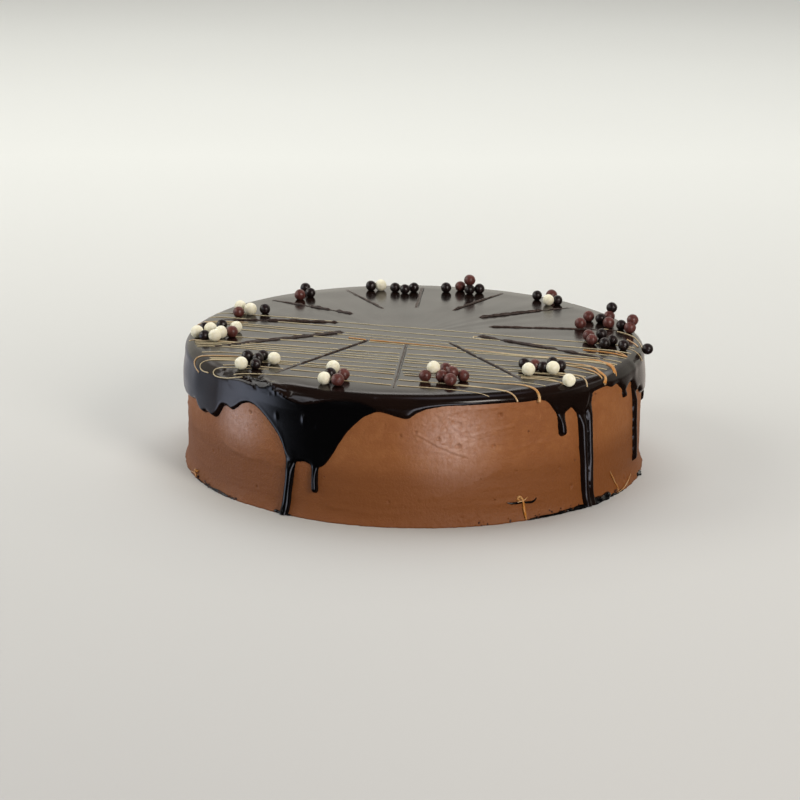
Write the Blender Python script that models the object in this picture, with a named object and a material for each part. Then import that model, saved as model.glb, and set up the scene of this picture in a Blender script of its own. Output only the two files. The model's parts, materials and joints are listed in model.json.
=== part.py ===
"""A round chocolate cream cake: a smooth cream body under a poured ganache coat.

The coat carries its drips, twelve score marks, the fine drizzle and the chocolate pearls, all fused to it.
Angles round the cake are degrees from the front (-Y), positive towards +X.
The origin is at the centre of the base.
"""

import math
import random

import bmesh
import bpy
from mathutils import Vector

MM = 0.001

# Cream body
BODY_RADIUS = 117.8 * MM
BODY_HEIGHT = 62.0 * MM
BODY_CORNER = 3.0 * MM
FOOT_FLARE = 1.8 * MM
FOOT_HEIGHT = 8.0 * MM
BODY_WAVES = ((2, 0.25 * MM, 0.4), (5, 0.18 * MM, 2.1), (9, 0.10 * MM, 4.0))  # count, height, phase
GAP = 0.3 * MM

# Ganache coat
COAT_RADIUS = 120.0 * MM
COAT_TOP = 65.0 * MM
COAT_CORNER = 7.0 * MM
LIP = 1.2 * MM
AROUND = 104

# The coat's lower edge: angle, height in mm
COAT_EDGE = (
    (-78, 38), (-70, 40), (-64, 37.5), (-57, 38), (-53, 44), (-47, 48), (-41, 50.5), (-37, 46),
    (-33.5, 34), (-29, 28), (-23.5, 26), (-19, 34), (-15, 45), (-12, 51), (-8.5, 56.8), (-1.8, 54.2),
    (3, 57.5), (10, 59.6), (18, 60), (25, 59.4), (31, 59.2), (36, 52), (40.5, 52.5), (44, 48),
    (49, 59), (56, 58), (61.5, 51), (66, 54), (71, 48), (78, 41), (88, 40), (96, 49),
    (104, 52), (112, 43), (120, 47), (129, 56), (139, 52), (148, 45), (157, 50), (168, 57),
    (179, 53), (189, 46), (198, 50), (209, 57), (219, 54), (228, 45), (238, 41), (247, 50),
    (256, 54), (265, 46), (274, 40),
)

# Drips: angle at the top, angle at the tip, tip height, width and thickness in mm
DRIPS = (
    (-30.4, -32.3, 1.0, 4.4, 2.8), (-24.6, -24.2, 14.3, 3.6, 2.4), (36.8, 37.4, 39.0, 4.6, 2.4),
    (44.6, 47.0, 1.2, 7.0, 2.8), (61.3, 61.6, 48.0, 3.6, 2.2), (69.4, 69.8, 10.0, 5.0, 3.0),
    (90.0, 90.4, 30.0, 4.4, 2.4), (112.5, 112.0, 14.0, 4.4, 2.6), (121.0, 121.6, 33.0, 3.8, 2.2),
    (147.5, 148.2, 20.0, 4.6, 2.6), (161.0, 160.4, 39.0, 3.6, 2.2), (188.5, 188.0, 8.0, 4.4, 2.6),
    (197.0, 197.6, 36.0, 3.8, 2.2), (227.0, 226.2, 26.0, 4.6, 2.6), (238.5, 239.0, 12.0, 4.2, 2.4),
    (266.0, 265.4, 29.0, 4.0, 2.4),
)
DRIP_ROOT = 4.0 * MM
DRIP_BACK = 0.2 * MM
DRIP_HEAD = ((0, 1.4), (4, 1.2), (8, 0.9))  # mm down from the root, share of the width
DRIP_TIP = ((6, 0.85), (3, 1), (1.2, 0.8), (0.3, 0.4))  # mm up from the tip, share of the width

# Score marks: one for each portion, fanned from a centre a little behind the cake's own
PORTIONS = 12
MARK_CENTRE = Vector((-1.0, 17.0, 0)) * MM
MARK_TURN = 26.2
MARK_INNER = 39.5 * MM
MARK_OUTER = 104.0 * MM
MARK_WIDTH = 1.2 * MM
MARK_DEPTH = 1.0 * MM
CREST_WIDTH = 1.1 * MM
CREST_LOW = 0.4 * MM
CREST_HIGH = 1.6 * MM

# Drizzle: rows crossing the front of the top; each is its distance along Y at the middle, in mm
ROWS = (12, -1, -14, -24, -32, -38, -44, -51, -58, -66, -73, -80, -89, -98)
SPILLING_ROWS = (-44, -51, -66, -89, -98)
ROW_SLOPE_BACK = -0.28
ROW_SLOPE_FRONT = -0.13
ROW_WIDTH = 0.9 * MM
ROW_RISE = 0.4 * MM
ROW_SINK = 0.5 * MM
ROW_OVERHANG = 14.0 * MM

# Chocolate pearls, one cluster to a portion: kind, x, y and lift off the coat, in mm
PEARL_RADIUS = {"ivory": 3.25 * MM, "milk": 3.05 * MM, "dark": 2.85 * MM}
PEARL_SPREAD = 0.04
PEARL_FACETING = 1.06  # a faceted sphere as large as a round one
PEARL_SINK = 0.5 * MM
CLUSTERS = (
    (("milk", 5, -92, 0), ("milk", 13, -93, 0), ("milk", 15, -79, 0), ("milk", 17, -99, 0),
     ("milk", 23.3, -91, 0), ("ivory", 9, -90, 3.2), ("milk", 18, -92.2, 1.9)),
    (("dark", 53.5, -67, 0), ("milk", 58.5, -70.5, 0), ("ivory", 55, -79.5, 0), ("dark", 62.5, -73, 0),
     ("dark", 67.5, -63.5, 0), ("dark", 71, -70, 0), ("ivory", 67, -76, 0), ("ivory", 73.5, -90, 0)),
    (("milk", 89, -11, 0), ("milk", 90, -19.5, 0), ("dark", 96, -7, 0), ("dark", 96, -25.5, 0),
     ("dark", 100.5, -19, 0), ("dark", 105.5, -27.5, 0)),
    (("milk", 86.5, 15, 0), ("milk", 92, 30.5, 0), ("dark", 98, 26.5, 0), ("milk", 103, 32, 0),
     ("dark", 104.4, 34, 4.6), ("milk", 101.5, 17, 0), ("dark", 108, 14.5, 0), ("milk", 112, 9, 0),
     ("milk", 113.3, 12, 3.8)),
    (("dark", 67, 78, 0), ("ivory", 72.5, 66, 0), ("dark", 77.5, 67, 0), ("milk", 75, 79, 0)),
    (("dark", 17, 94, 0), ("milk", 25, 97, 0), ("milk", 30, 92, 4.6), ("dark", 30, 90, 0),
     ("dark", 35.5, 92, 0)),
    (("dark", -25, 96, 0), ("ivory", -19.5, 96.5, 0), ("dark", -11.5, 93, 0), ("dark", -6, 89.5, 0),
     ("dark", -1, 93.5, 0)),
    (("dark", -61.5, 92, 0), ("milk", -63.5, 72, 0), ("dark", -58, 78, 0)),
    (("ivory", -94, 43, 0), ("milk", -94, 31, 0), ("ivory", -88, 36.5, 0), ("dark", -80.5, 38.5, 0)),
    (("ivory", -112, -10.5, 0), ("dark", -109, -1.5, 0), ("dark", -107.5, -17.5, 0),
     ("ivory", -105.5, -6, 0), ("ivory", -102, -20.5, 0), ("ivory", -99.5, -14, 0),
     ("dark", -100.5, 4, 0), ("milk", -94, -12, 0), ("ivory", -92.5, -2.5, 0)),
    (("ivory", -84.5, -72, 0), ("dark", -82.5, -59, 0), ("dark", -77.5, -73, 0), ("dark", -77, -63, 0),
     ("dark", -75, -57, 0), ("ivory", -69, -64, 0)),
    (("ivory", -39.5, -80, 0), ("ivory", -43, -98.5, 0), ("dark", -40.5, -89, 0), ("milk", -36.5, -101, 0),
     ("milk", -34, -91, 0)),
)
STRAY_PEARL = ("dark", Vector((118.2, -22.5, 64.0)) * MM)


def clear_scene():
    for found in list(bpy.data.objects):
        bpy.data.objects.remove(found)


def painted(name, colour, roughness):
    made = bpy.data.materials.new(name)
    made.use_nodes = True
    shader = made.node_tree.nodes["Principled BSDF"]
    shader.inputs["Base Color"].default_value = (*colour, 1)
    shader.inputs["Roughness"].default_value = roughness
    return made


def around(angle, radius, height):
    """The point at this angle from the front, seen from above, positive towards +X."""
    turn = math.radians(angle)
    return Vector((radius * math.sin(turn), -radius * math.cos(turn), height))


def rounded_radius(radius, corner, top, height):
    """The radius at this height of an upright wall whose top corner is rounded."""
    above = height - (top - corner)
    if above <= 0:
        return radius
    return radius - corner + math.sqrt(max(corner**2 - above**2, 0))


def body_radius(angle, height):
    """The cream wall: a spread foot and the slow unevenness that a palette knife leaves."""
    turn = math.radians(angle)
    waves = sum(size * math.sin(count * turn + phase + 18 * height) for count, size, phase in BODY_WAVES)
    foot = FOOT_FLARE * max(0, 1 - height / FOOT_HEIGHT) ** 2
    return rounded_radius(BODY_RADIUS, BODY_CORNER, BODY_HEIGHT, height) + waves + foot


def coat_radius(height):
    return rounded_radius(COAT_RADIUS, COAT_CORNER, COAT_TOP, height)


def lining_radius(angle, height):
    """The coat's inner face, which follows the cream at a small gap."""
    hidden = rounded_radius(BODY_RADIUS, BODY_CORNER + GAP, BODY_HEIGHT + GAP, height)
    return body_radius(angle, min(height, BODY_HEIGHT - BODY_CORNER)) - BODY_RADIUS + hidden + GAP


def edge_height(angle):
    """The coat's lower edge at this angle: a cubic through the points of COAT_EDGE, closed round the cake."""
    turn = (angle - COAT_EDGE[0][0]) % 360
    reached = [i for i, (a, _) in enumerate(COAT_EDGE) if a - COAT_EDGE[0][0] <= turn]
    near = [COAT_EDGE[(reached[-1] + step) % len(COAT_EDGE)] for step in (-1, 0, 1, 2)]
    before, start, end, after = (height * MM for _, height in near)
    t = ((angle - near[1][0]) % 360) / ((near[2][0] - near[1][0]) % 360)
    bend_in = (end - before) / 2 * (t**3 - 2 * t**2 + t)
    bend_out = (after - start) / 2 * (t**3 - t**2)
    return start + (end - start) * (3 * t**2 - 2 * t**3) + bend_in + bend_out


def solid_through(name, loops, material, collection=None):
    """One closed body through loops of equal count, its first and last loops filled."""
    bm = bmesh.new()
    rows = [[bm.verts.new(point) for point in loop] for loop in loops]
    for upper, lower in zip(rows, rows[1:]):
        for i, corner in enumerate(upper):
            following = (i + 1) % len(upper)
            bm.faces.new((corner, lower[i], lower[following], upper[following]))
    bm.faces.new(rows[0])
    bm.faces.new(reversed(rows[-1]))
    bmesh.ops.recalc_face_normals(bm, faces=bm.faces)
    mesh = bpy.data.meshes.new(name)
    bm.to_mesh(mesh)
    bm.free()
    made = bpy.data.objects.new(name, mesh)
    made.data.materials.append(material)
    (collection or bpy.context.scene.collection).objects.link(made)
    return made


def cream_body(material):
    shoulder = BODY_HEIGHT - BODY_CORNER
    heights = [0, FOOT_HEIGHT / 2, FOOT_HEIGHT, 0.35 * shoulder, 0.65 * shoulder]
    heights += [shoulder + BODY_CORNER * math.sin(math.radians(turn)) for turn in (0, 30, 60, 90)]
    angles = [360 * step / AROUND for step in range(AROUND)]
    loops = [[around(a, body_radius(a, height), height) for a in angles] for height in heights]
    return solid_through("cream_cake", loops, material)


def coat_profile(angle):
    """The coat's section: over the rounded shoulder, down to its edge, under the lip and up inside."""
    edge = edge_height(angle)
    lip = edge + LIP
    profile = []
    for part in (0, 0.015, 0.06, 0.14, 0.28, 0.6, 1):
        height = COAT_TOP - part * (COAT_TOP - lip)
        profile.append((coat_radius(height), height))
    outer = coat_radius(lip)
    inner = lining_radius(angle, edge)
    for inward, up in ((0.3, 0.25), (0.7, 0), (1, 0)):
        profile.append((outer + inward * (inner - outer), edge + up * LIP))
    top = BODY_HEIGHT + GAP
    for step, turn in enumerate((0, 30, 60, 90), start=1):
        bend = top - (BODY_CORNER + GAP) * (1 - math.sin(math.radians(turn)))
        height = max(bend, edge + (top - edge) * step / 4)
        profile.append((lining_radius(angle, height), height))
    return profile


def coat_shell(material):
    angles = [360 * step / AROUND for step in range(AROUND)]
    sections = [coat_profile(a) for a in angles]
    loops = [[around(a, *point) for a, point in zip(angles, ring)] for ring in zip(*sections)]
    return solid_through("glaze", loops, material)


def drip(index, top_angle, tip_angle, tip, width, thickness, material, collection):
    """A run of ganache that starts inside the coat, thins and ends in a heavier round tip."""
    start = edge_height(top_angle) + DRIP_ROOT
    length = start - tip * MM
    widths = [(down * MM / length, wide) for down, wide in DRIP_HEAD]
    widths += [(1 - up * MM / length, wide) for up, wide in DRIP_TIP]
    loops = []
    for along, wide in sorted(widths):
        height = start - along * length
        angle = top_angle + along * (tip_angle - top_angle)
        back = lining_radius(angle, height) + DRIP_BACK
        reach = thickness * MM * min(1, wide + 0.3)
        half = math.degrees(wide * width * MM / 2 / back)
        front = [(across, reach * (0.1 + 0.9 * math.sqrt(1 - across**2))) for across in (-1, -0.5, 0.5, 1)]
        loops.append([around(angle + across * half, back + out, height) for across, out in front])
        loops[-1] += [around(angle + across * half, back, height) for across in (1, -1)]
    return solid_through(f"drip_{index}", loops, material, collection)


def on_coat(x, y, lift):
    """A point lifted off the coat, with the plan wrapped over its rounded shoulder and down its side."""
    plan = Vector((x, y, 0))
    flat = COAT_RADIUS - COAT_CORNER
    beyond = plan.length - flat
    if beyond <= 0:
        return Vector((x, y, COAT_TOP + lift))
    out = plan.normalized()
    quarter = COAT_CORNER * math.pi / 2
    bend = min(beyond, quarter) / COAT_CORNER
    down = max(beyond - quarter, 0)
    normal = out * math.sin(bend) + Vector((0, 0, math.cos(bend)))
    centre = out * flat + Vector((0, 0, COAT_TOP - COAT_CORNER - down))
    return centre + normal * (COAT_CORNER + lift)


def row_points(middle, slope, spills):
    """Plan points along one drizzle row. One that spills bends over the shoulder at its +X end."""
    flat = COAT_RADIUS - COAT_CORNER - 0.5 * MM
    a = 1 + slope**2
    b = 2 * middle * slope
    c = middle**2 - flat**2
    half = math.sqrt(b**2 - 4 * a * c)
    runs = [(-b - half) / (2 * a), (-b + half) / (2 * a)]
    if spills:
        runs += [runs[-1] + step * ROW_OVERHANG / 3 for step in (1, 2, 3)]
    return [Vector((x, middle + slope * x, 0)) for x in runs]


def drizzle_row(index, middle, spills, material, collection):
    back = ROWS[0] * MM
    front = ROWS[-1] * MM
    slope = ROW_SLOPE_BACK + (ROW_SLOPE_FRONT - ROW_SLOPE_BACK) * (middle - back) / (front - back)
    points = row_points(middle, slope, spills)
    half = ROW_WIDTH / 2 * random.uniform(0.8, 1.2)
    side = Vector((-slope, 1, 0)).normalized() * half
    loops = []
    for point in points:
        left = point + side
        right = point - side
        loops.append(
            [
                on_coat(left.x, left.y, -ROW_SINK),
                on_coat(point.x, point.y, ROW_RISE),
                on_coat(right.x, right.y, -ROW_SINK),
            ]
        )
    return solid_through(f"row_{index}", loops, material, collection)


def mark_direction(index):
    turn = math.radians(MARK_TURN + index * 360 / PORTIONS)
    return Vector((math.cos(turn), math.sin(turn), 0))


def mark_bar(name, index, width, top, bottom, shift, material, collection):
    """A bar along one score mark, tapered in plan at both ends."""
    along = mark_direction(index)
    across = Vector((-along.y, along.x, 0))
    if across.y < 0:
        across = -across
    outer = MARK_OUTER - MARK_CENTRE.dot(along)
    loops = []
    for part, thick in ((0, 0.3), (0.04, 1), (0.96, 1), (1, 0.3)):
        middle = MARK_CENTRE + along * (MARK_INNER + part * (outer - MARK_INNER)) + across * shift
        half = across * width * thick / 2
        loops.append(
            [
                middle + half + Vector((0, 0, COAT_TOP + top * thick)),
                middle - half + Vector((0, 0, COAT_TOP + top * thick)),
                middle - half * 0.6 + Vector((0, 0, COAT_TOP + bottom)),
                middle + half * 0.6 + Vector((0, 0, COAT_TOP + bottom)),
            ]
        )
    return solid_through(name, loops, material, collection)


def pearl(index, radius, centre, material, collection):
    bm = bmesh.new()
    bmesh.ops.create_uvsphere(bm, u_segments=6, v_segments=4, radius=radius * PEARL_FACETING)
    bmesh.ops.translate(bm, verts=bm.verts, vec=centre)
    mesh = bpy.data.meshes.new(f"pearl_{index}")
    bm.to_mesh(mesh)
    bm.free()
    made = bpy.data.objects.new(mesh.name, mesh)
    made.data.materials.append(material)
    collection.objects.link(made)
    return made


def pearls():
    """Each pearl's radius and centre: pressed a little into the coat, or lifted to lie on others."""
    for cluster in CLUSTERS:
        for kind, x, y, lift in cluster:
            radius = PEARL_RADIUS[kind] * random.uniform(1 - PEARL_SPREAD, 1 + PEARL_SPREAD)
            yield radius, on_coat(x * MM, y * MM, radius - PEARL_SINK) + Vector((0, 0, lift * MM))
    kind, centre = STRAY_PEARL
    yield PEARL_RADIUS[kind], centre


def new_collection(name):
    made = bpy.data.collections.new(name)
    bpy.context.scene.collection.children.link(made)
    return made


def apply_boolean(target, operation, collection):
    """One Boolean with every object of the collection, applied, and the collection emptied."""
    cut = target.modifiers.new(operation.lower(), "BOOLEAN")
    cut.operation = operation
    cut.operand_type = "COLLECTION"
    cut.collection = collection
    evaluated = target.evaluated_get(bpy.context.evaluated_depsgraph_get())
    mesh = bpy.data.meshes.new_from_object(evaluated)
    target.modifiers.clear()
    target.data = mesh
    for used in list(collection.objects):
        bpy.data.objects.remove(used)
    bpy.data.collections.remove(collection)


def keep_largest_shell(target):
    """Drops loose scraps and fills the hollows that fusing seals, by keeping only the largest shell."""
    bm = bmesh.new()
    bm.from_mesh(target.data)
    left = set(bm.faces)
    shells = []
    while left:
        waiting = [left.pop()]
        shell = list(waiting)
        while waiting:
            face = waiting.pop()
            near = {other for edge in face.edges for other in edge.link_faces} & left
            left -= near
            shell.extend(near)
            waiting.extend(near)
        shells.append(shell)
    shells.sort(key=len)
    bmesh.ops.delete(bm, geom=[face for shell in shells[:-1] for face in shell], context="FACES")
    bm.to_mesh(target.data)
    bm.free()


def glaze(material):
    coat = coat_shell(material)
    cutters = new_collection("cutters")
    for index in range(PORTIONS):
        mark_bar(f"groove_{index}", index, MARK_WIDTH, 2 * MM, -MARK_DEPTH, 0, material, cutters)
    apply_boolean(coat, "DIFFERENCE", cutters)
    toppings = new_collection("toppings")
    for index, sizes in enumerate(DRIPS):
        drip(index, *sizes, material, toppings)
    for index, middle in enumerate(ROWS):
        drizzle_row(index, middle * MM, middle in SPILLING_ROWS, material, toppings)
    for index in range(PORTIONS):
        front = max(0, -mark_direction(index).y)
        rise = CREST_HIGH + (CREST_LOW - CREST_HIGH) * front
        shift = (MARK_WIDTH + CREST_WIDTH) / 2
        mark_bar(f"crest_{index}", index, CREST_WIDTH, rise, -ROW_SINK, shift, material, toppings)
    for index, (radius, centre) in enumerate(pearls()):
        pearl(index, radius, centre, material, toppings)
    apply_boolean(coat, "UNION", toppings)
    keep_largest_shell(coat)
    return coat


def main():
    random.seed(12)
    clear_scene()
    cream = painted("cream", (0.27, 0.11, 0.05), 0.5)
    ganache = painted("ganache", (0.012, 0.008, 0.007), 0.12)
    for made in (cream_body(cream), glaze(ganache)):
        made.data.shade_smooth()
        made.data.set_sharp_from_angle(angle=math.radians(40))


main()
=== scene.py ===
# %% [markdown]
# # A chocolate cream cake, finished in Blender
#
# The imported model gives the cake's true size and place: a cream body and, fused into one coat, the poured
# ganache with its drips, score marks, drizzle and chocolate pearls. This lesson models each of those again
# as what it really is, piece by piece, and gives each its own material.
# Lengths are in metres, and MM turns the millimetres that a cake maker would measure into metres.

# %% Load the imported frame
import json
import math
import random
from functools import lru_cache

import bmesh
import bpy
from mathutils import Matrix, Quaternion, Vector, noise

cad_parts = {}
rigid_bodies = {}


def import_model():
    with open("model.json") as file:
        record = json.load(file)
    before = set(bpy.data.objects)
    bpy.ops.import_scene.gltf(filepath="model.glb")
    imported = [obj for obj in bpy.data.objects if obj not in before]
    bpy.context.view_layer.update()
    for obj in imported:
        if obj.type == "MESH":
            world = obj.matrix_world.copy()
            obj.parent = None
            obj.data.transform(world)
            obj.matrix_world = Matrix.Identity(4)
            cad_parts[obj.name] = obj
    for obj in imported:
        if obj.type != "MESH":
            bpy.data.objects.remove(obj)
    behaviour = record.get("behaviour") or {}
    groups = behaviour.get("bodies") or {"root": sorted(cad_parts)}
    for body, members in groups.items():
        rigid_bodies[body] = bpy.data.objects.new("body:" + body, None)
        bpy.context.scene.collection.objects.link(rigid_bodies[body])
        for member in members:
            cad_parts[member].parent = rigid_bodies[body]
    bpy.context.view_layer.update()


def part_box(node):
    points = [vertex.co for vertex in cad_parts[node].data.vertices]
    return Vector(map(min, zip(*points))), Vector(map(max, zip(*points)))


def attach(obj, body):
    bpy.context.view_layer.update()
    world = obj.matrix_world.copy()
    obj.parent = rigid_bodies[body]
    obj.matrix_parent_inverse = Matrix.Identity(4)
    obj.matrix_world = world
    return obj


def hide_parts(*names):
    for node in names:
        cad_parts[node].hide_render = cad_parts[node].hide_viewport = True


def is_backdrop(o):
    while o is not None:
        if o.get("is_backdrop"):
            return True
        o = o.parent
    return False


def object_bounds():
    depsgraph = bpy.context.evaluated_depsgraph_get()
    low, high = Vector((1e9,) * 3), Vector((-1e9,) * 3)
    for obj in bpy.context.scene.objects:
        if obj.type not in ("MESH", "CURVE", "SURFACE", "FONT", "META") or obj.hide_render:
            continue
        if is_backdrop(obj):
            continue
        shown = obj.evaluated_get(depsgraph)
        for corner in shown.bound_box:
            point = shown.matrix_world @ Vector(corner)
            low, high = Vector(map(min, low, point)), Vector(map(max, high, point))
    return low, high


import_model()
MM = 0.001

# %% [markdown]
# ## The cake's own measures
#
# The cream body is a drum, and the ganache lies over it as a skin about 2 mm thick. The same values made the
# solid model, so every piece here lands where its solid is. Angles run round the cake from the front (-Y),
# positive towards +X.

# %% Measures of the body and the coat
BODY_RADIUS = 117.8 * MM
BODY_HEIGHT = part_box("cream_cake")[1].z
BODY_CORNER = 3.0 * MM
FOOT_FLARE = 1.8 * MM
FOOT_HEIGHT = 8.0 * MM
BODY_WAVES = ((2, 0.25 * MM, 0.4), (5, 0.18 * MM, 2.1), (9, 0.10 * MM, 4.0))  # count, height, phase
COAT_RADIUS = 120.0 * MM
COAT_TOP = 65.0 * MM
COAT_CORNER = 7.0 * MM
COAT_FLAT = COAT_RADIUS - COAT_CORNER
COAT_BEND = COAT_TOP - COAT_CORNER
COAT_THICKNESS = COAT_RADIUS - BODY_RADIUS
BODY_DEGREE = BODY_RADIUS * math.pi / 180  # the length of one degree round the wall
COAT_DEGREE = COAT_RADIUS * math.pi / 180
HAIR = 1e-6  # far less than any length here


# %% Angles, eases and noise round the cake
WAVE_CLIMB = 18  # how far the waves turn with height, in radians to a metre


def around(angle, radius, height):
    """The point at this angle from the front, seen from above, positive towards +X."""
    turn = math.radians(angle)
    return Vector((radius * math.sin(turn), -radius * math.cos(turn), height))


def angle_of(point):
    return math.degrees(math.atan2(point.x, -point.y))


def crowd_round(point, angle, share):
    """Turns a point about the middle, so that the faces gather round the angle where the detail is."""
    turn = math.radians(angle_of(point))
    turn -= share * math.sin(turn - math.radians(angle))
    radius = math.hypot(point.x, point.y)
    return Vector((radius * math.sin(turn), -radius * math.cos(turn), point.z))


def smoothstep(low, high, value):
    """0 below low, 1 above high, and an even ease in between."""
    part = min(max((value - low) / (high - low), 0), 1)
    return part * part * (3 - 2 * part)


def within(start, full, fade, end, value):
    """0 outside start and end, 1 from full to fade, and an even ease in between."""
    return smoothstep(start, full, value) * (1 - smoothstep(fade, end, value))


def turned_by(angle, other):
    """The shortest way round from one angle to another, in degrees."""
    return (angle - other + 180) % 360 - 180


def round_noise(angle, radius, height, wide, tall):
    """Noise on the wall that closes up round the cake, with blots this wide and tall in mm."""
    turn = math.radians(angle)
    ring = Vector((math.sin(turn), math.cos(turn), 0)) * radius
    return noise.noise(ring / (wide * MM) + Vector((0, 0, height / (tall * MM))))


def wall_waves(angle, height):
    """How far the wall stands out or in: its slow unevenness, and the foot that spreads a little."""
    turn, climb = math.radians(angle), WAVE_CLIMB * height
    waves = sum(size * math.sin(count * turn + phase + climb) for count, size, phase in BODY_WAVES)
    return waves + FOOT_FLARE * max(0, 1 - height / FOOT_HEIGHT) ** 2


# %% [markdown]
# ## Helpers for modelling
#
# Almost every piece starts from a primitive. Operators act on whatever is selected, so everything is
# deselected first. `cut_along` does what cutting a mesh into even slices does by hand, and `drum` makes the
# closed drum that both the cream and the coat start from: a cylinder, its rim bevelled round, its wall cut
# into courses. `modified` adds a modifier and applies it at once.


# %% Helpers: a clean start, even cuts, a drum
def start_clean():
    """Back to object mode with nothing selected."""
    if bpy.context.object and bpy.context.object.mode != "OBJECT":
        bpy.ops.object.mode_set(mode="OBJECT")
    bpy.ops.object.select_all(action="DESELECT")


def select_only(*pieces):
    """Selects these pieces and nothing else. The first one is the active one."""
    start_clean()
    for piece in pieces:
        piece.select_set(True)
    bpy.context.view_layer.objects.active = pieces[0]


def select_edges(made, chosen):
    """In edit mode, selects the edges for which chosen(first corner, second corner) is true."""
    bpy.ops.mesh.select_mode(type="EDGE")
    bpy.ops.mesh.select_all(action="DESELECT")
    mesh = bmesh.from_edit_mesh(made.data)
    for edge in mesh.edges:
        edge.select_set(chosen(edge.verts[0].co, edge.verts[1].co))
    bmesh.update_edit_mesh(made.data)


def cut_along(made, axis, cuts):
    """Cuts every edge that runs along this axis into even parts."""
    bpy.ops.object.mode_set(mode="EDIT")
    select_edges(made, lambda a, b: abs((b - a)[axis]) > 0.9 * (b - a).length)
    bpy.ops.mesh.subdivide(number_cuts=cuts)
    bpy.ops.object.mode_set(mode="OBJECT")


def drum(name, radius, bottom, top, segments, corner, corner_cuts, courses, rings):
    """A closed drum: rounded upper rim, evenly cut wall, and both ends inset in rings, then fanned."""
    start_clean()
    bpy.ops.mesh.primitive_cylinder_add(
        vertices=segments, radius=radius, depth=top - bottom, location=(0, 0, (top + bottom) / 2)
    )
    made = bpy.context.object
    made.name = name
    bpy.ops.object.transform_apply(location=True)
    bpy.ops.object.mode_set(mode="EDIT")
    select_edges(made, lambda a, b: min(a.z, b.z) > top - HAIR)
    bpy.ops.mesh.bevel(offset=corner, segments=corner_cuts, affect="EDGES")
    upright = 0.8 * (top - corner - bottom)  # only the wall's edges rise this far
    select_edges(made, lambda a, b: abs(a.z - b.z) > upright)
    bpy.ops.mesh.subdivide(number_cuts=courses - 1)
    bpy.ops.mesh.select_mode(type="FACE")
    bpy.ops.mesh.select_all(action="DESELECT")
    mesh = bmesh.from_edit_mesh(made.data)
    for face in mesh.faces:
        face.select_set(len(face.verts) == segments)
    bmesh.update_edit_mesh(made.data)
    for width in rings:
        bpy.ops.mesh.inset(thickness=width)
    bpy.ops.mesh.poke()
    bpy.ops.object.mode_set(mode="OBJECT")
    return made


def move_points(made, place):
    """Moves each point of the mesh to where place(point) says, as careful sculpting would."""
    for vertex in made.data.vertices:
        vertex.co = place(vertex.co.copy())
    made.data.update()


def modified(made, kind, **settings):
    """Adds a modifier with its settings and applies it."""
    added = made.modifiers.new(kind.lower(), kind)
    for name, value in settings.items():
        setattr(added, name, value)
    select_only(made)
    bpy.ops.object.modifier_apply(modifier=added.name)


def joined(pieces, name):
    """Joins pieces into the first of them, under one name."""
    select_only(*pieces)
    bpy.ops.object.join()
    made = bpy.context.object
    made.name = name
    return made


# %% [markdown]
# ## The cream wall
#
# The cream was smoothed with a palette knife on a turntable. That leaves long, low waves round the wall,
# faint level bands, a few smears where the knife lifted, and small pits from air bubbles. The foot spreads a
# little on the board and its edge is ragged. A plain cylinder would catch one straight highlight; these
# small shapes break it up. They are real geometry, so they hold from every side. The marks at the front are
# placed one by one, and the other sides get more of the same kinds at random.

# %% Marks left in the cream
SMEARS = (  # each: height and half width in mm, then angle and height in mm of its points
    (0.7, 0.5, (0.6, 46.3), (4.4, 41.8), (8.3, 37.6), (12.2, 34.8)),
    (-0.5, 0.5, (1.4, 44.3), (4.8, 40.4), (8.6, 36.4), (12.4, 33.8)),
    (0.7, 0.5, (6.2, 53), (7.7, 56), (11.2, 57.4), (14.7, 57.8), (19.9, 57.8)),
    (0.65, 0.5, (13.3, 44.5), (16, 45.7), (18.4, 46.6), (21.7, 47.2), (23.8, 48)),
    (0.55, 0.45, (7.6, 52.4), (9.2, 53), (10.8, 52.2), (11.4, 51.2)),
    (0.5, 0.45, (12.4, 42), (15.2, 43.6), (19, 45.4)),
    (0.34, 1.5, (2, 14), (6.5, 15.4), (12.3, 19.9), (20.3, 26.9)),
    (0.3, 1.2, (-56, 30), (-50, 25), (-43, 23.5), (-37, 25)),
    (0.3, 1.2, (18, 9.5), (24, 10.5), (31, 8.5)),
    (0.26, 1.2, (-20, 8), (-10, 6), (2, 7.5)),
    (0.26, 0.9, (24, 36), (29, 38), (34, 37)),
)
PITS = (  # angle, height in mm, radius in mm
    (20.2, 53.9, 1.1), (18.7, 38.7, 0.8), (5.6, 43.8, 1), (10.2, 39.9, 1.2), (36.6, 23, 0.8),
    (40.5, 12.2, 1), (24.5, 25.1, 0.6), (-42.1, 47, 0.9), (-43.2, 40.2, 0.6), (-40.3, 41.1, 0.6),
    (-55, 21.6, 0.7), (-57.7, 19.3, 0.7), (-40.4, 10, 0.7), (-6.8, 50.4, 0.6), (-3.2, 45.3, 0.7),
    (0.4, 47, 0.8), (-5.7, 12.2, 0.7), (-2, 10, 0.5),
)
ROUGH_SPOTS = (  # angle, height, reach round and reach up in mm, depth in mm
    (10, 50, 19, 11, 0.36), (8, 40, 14, 12, 0.24), (12, 2, 13, 4.5, 0.45),
    (-44, 1, 9, 3, 0.4), (-62, 1, 14, 3, 0.5), (62, 3, 14, 4, 0.35),
    (-44, 42, 12, 7, 0.1), (30, 8, 16, 5, 0.12),
)


def spread_round(values, seed, count, low, high, free_from=85, free_to=275):
    """More marks of the same kinds for the sides that the front's lists leave out."""
    draw = random.Random(seed)
    return tuple(values(draw, draw.uniform(free_from, free_to), draw.uniform(low, high)) for _ in range(count))


def far_smear(draw, angle, height):
    rise = draw.uniform(-7, 7)
    points = [(angle + step * 4, height + rise * math.sin(step * 0.6)) for step in range(4)]
    return (draw.uniform(0.16, 0.34), draw.uniform(0.7, 1.3), *points)


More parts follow.
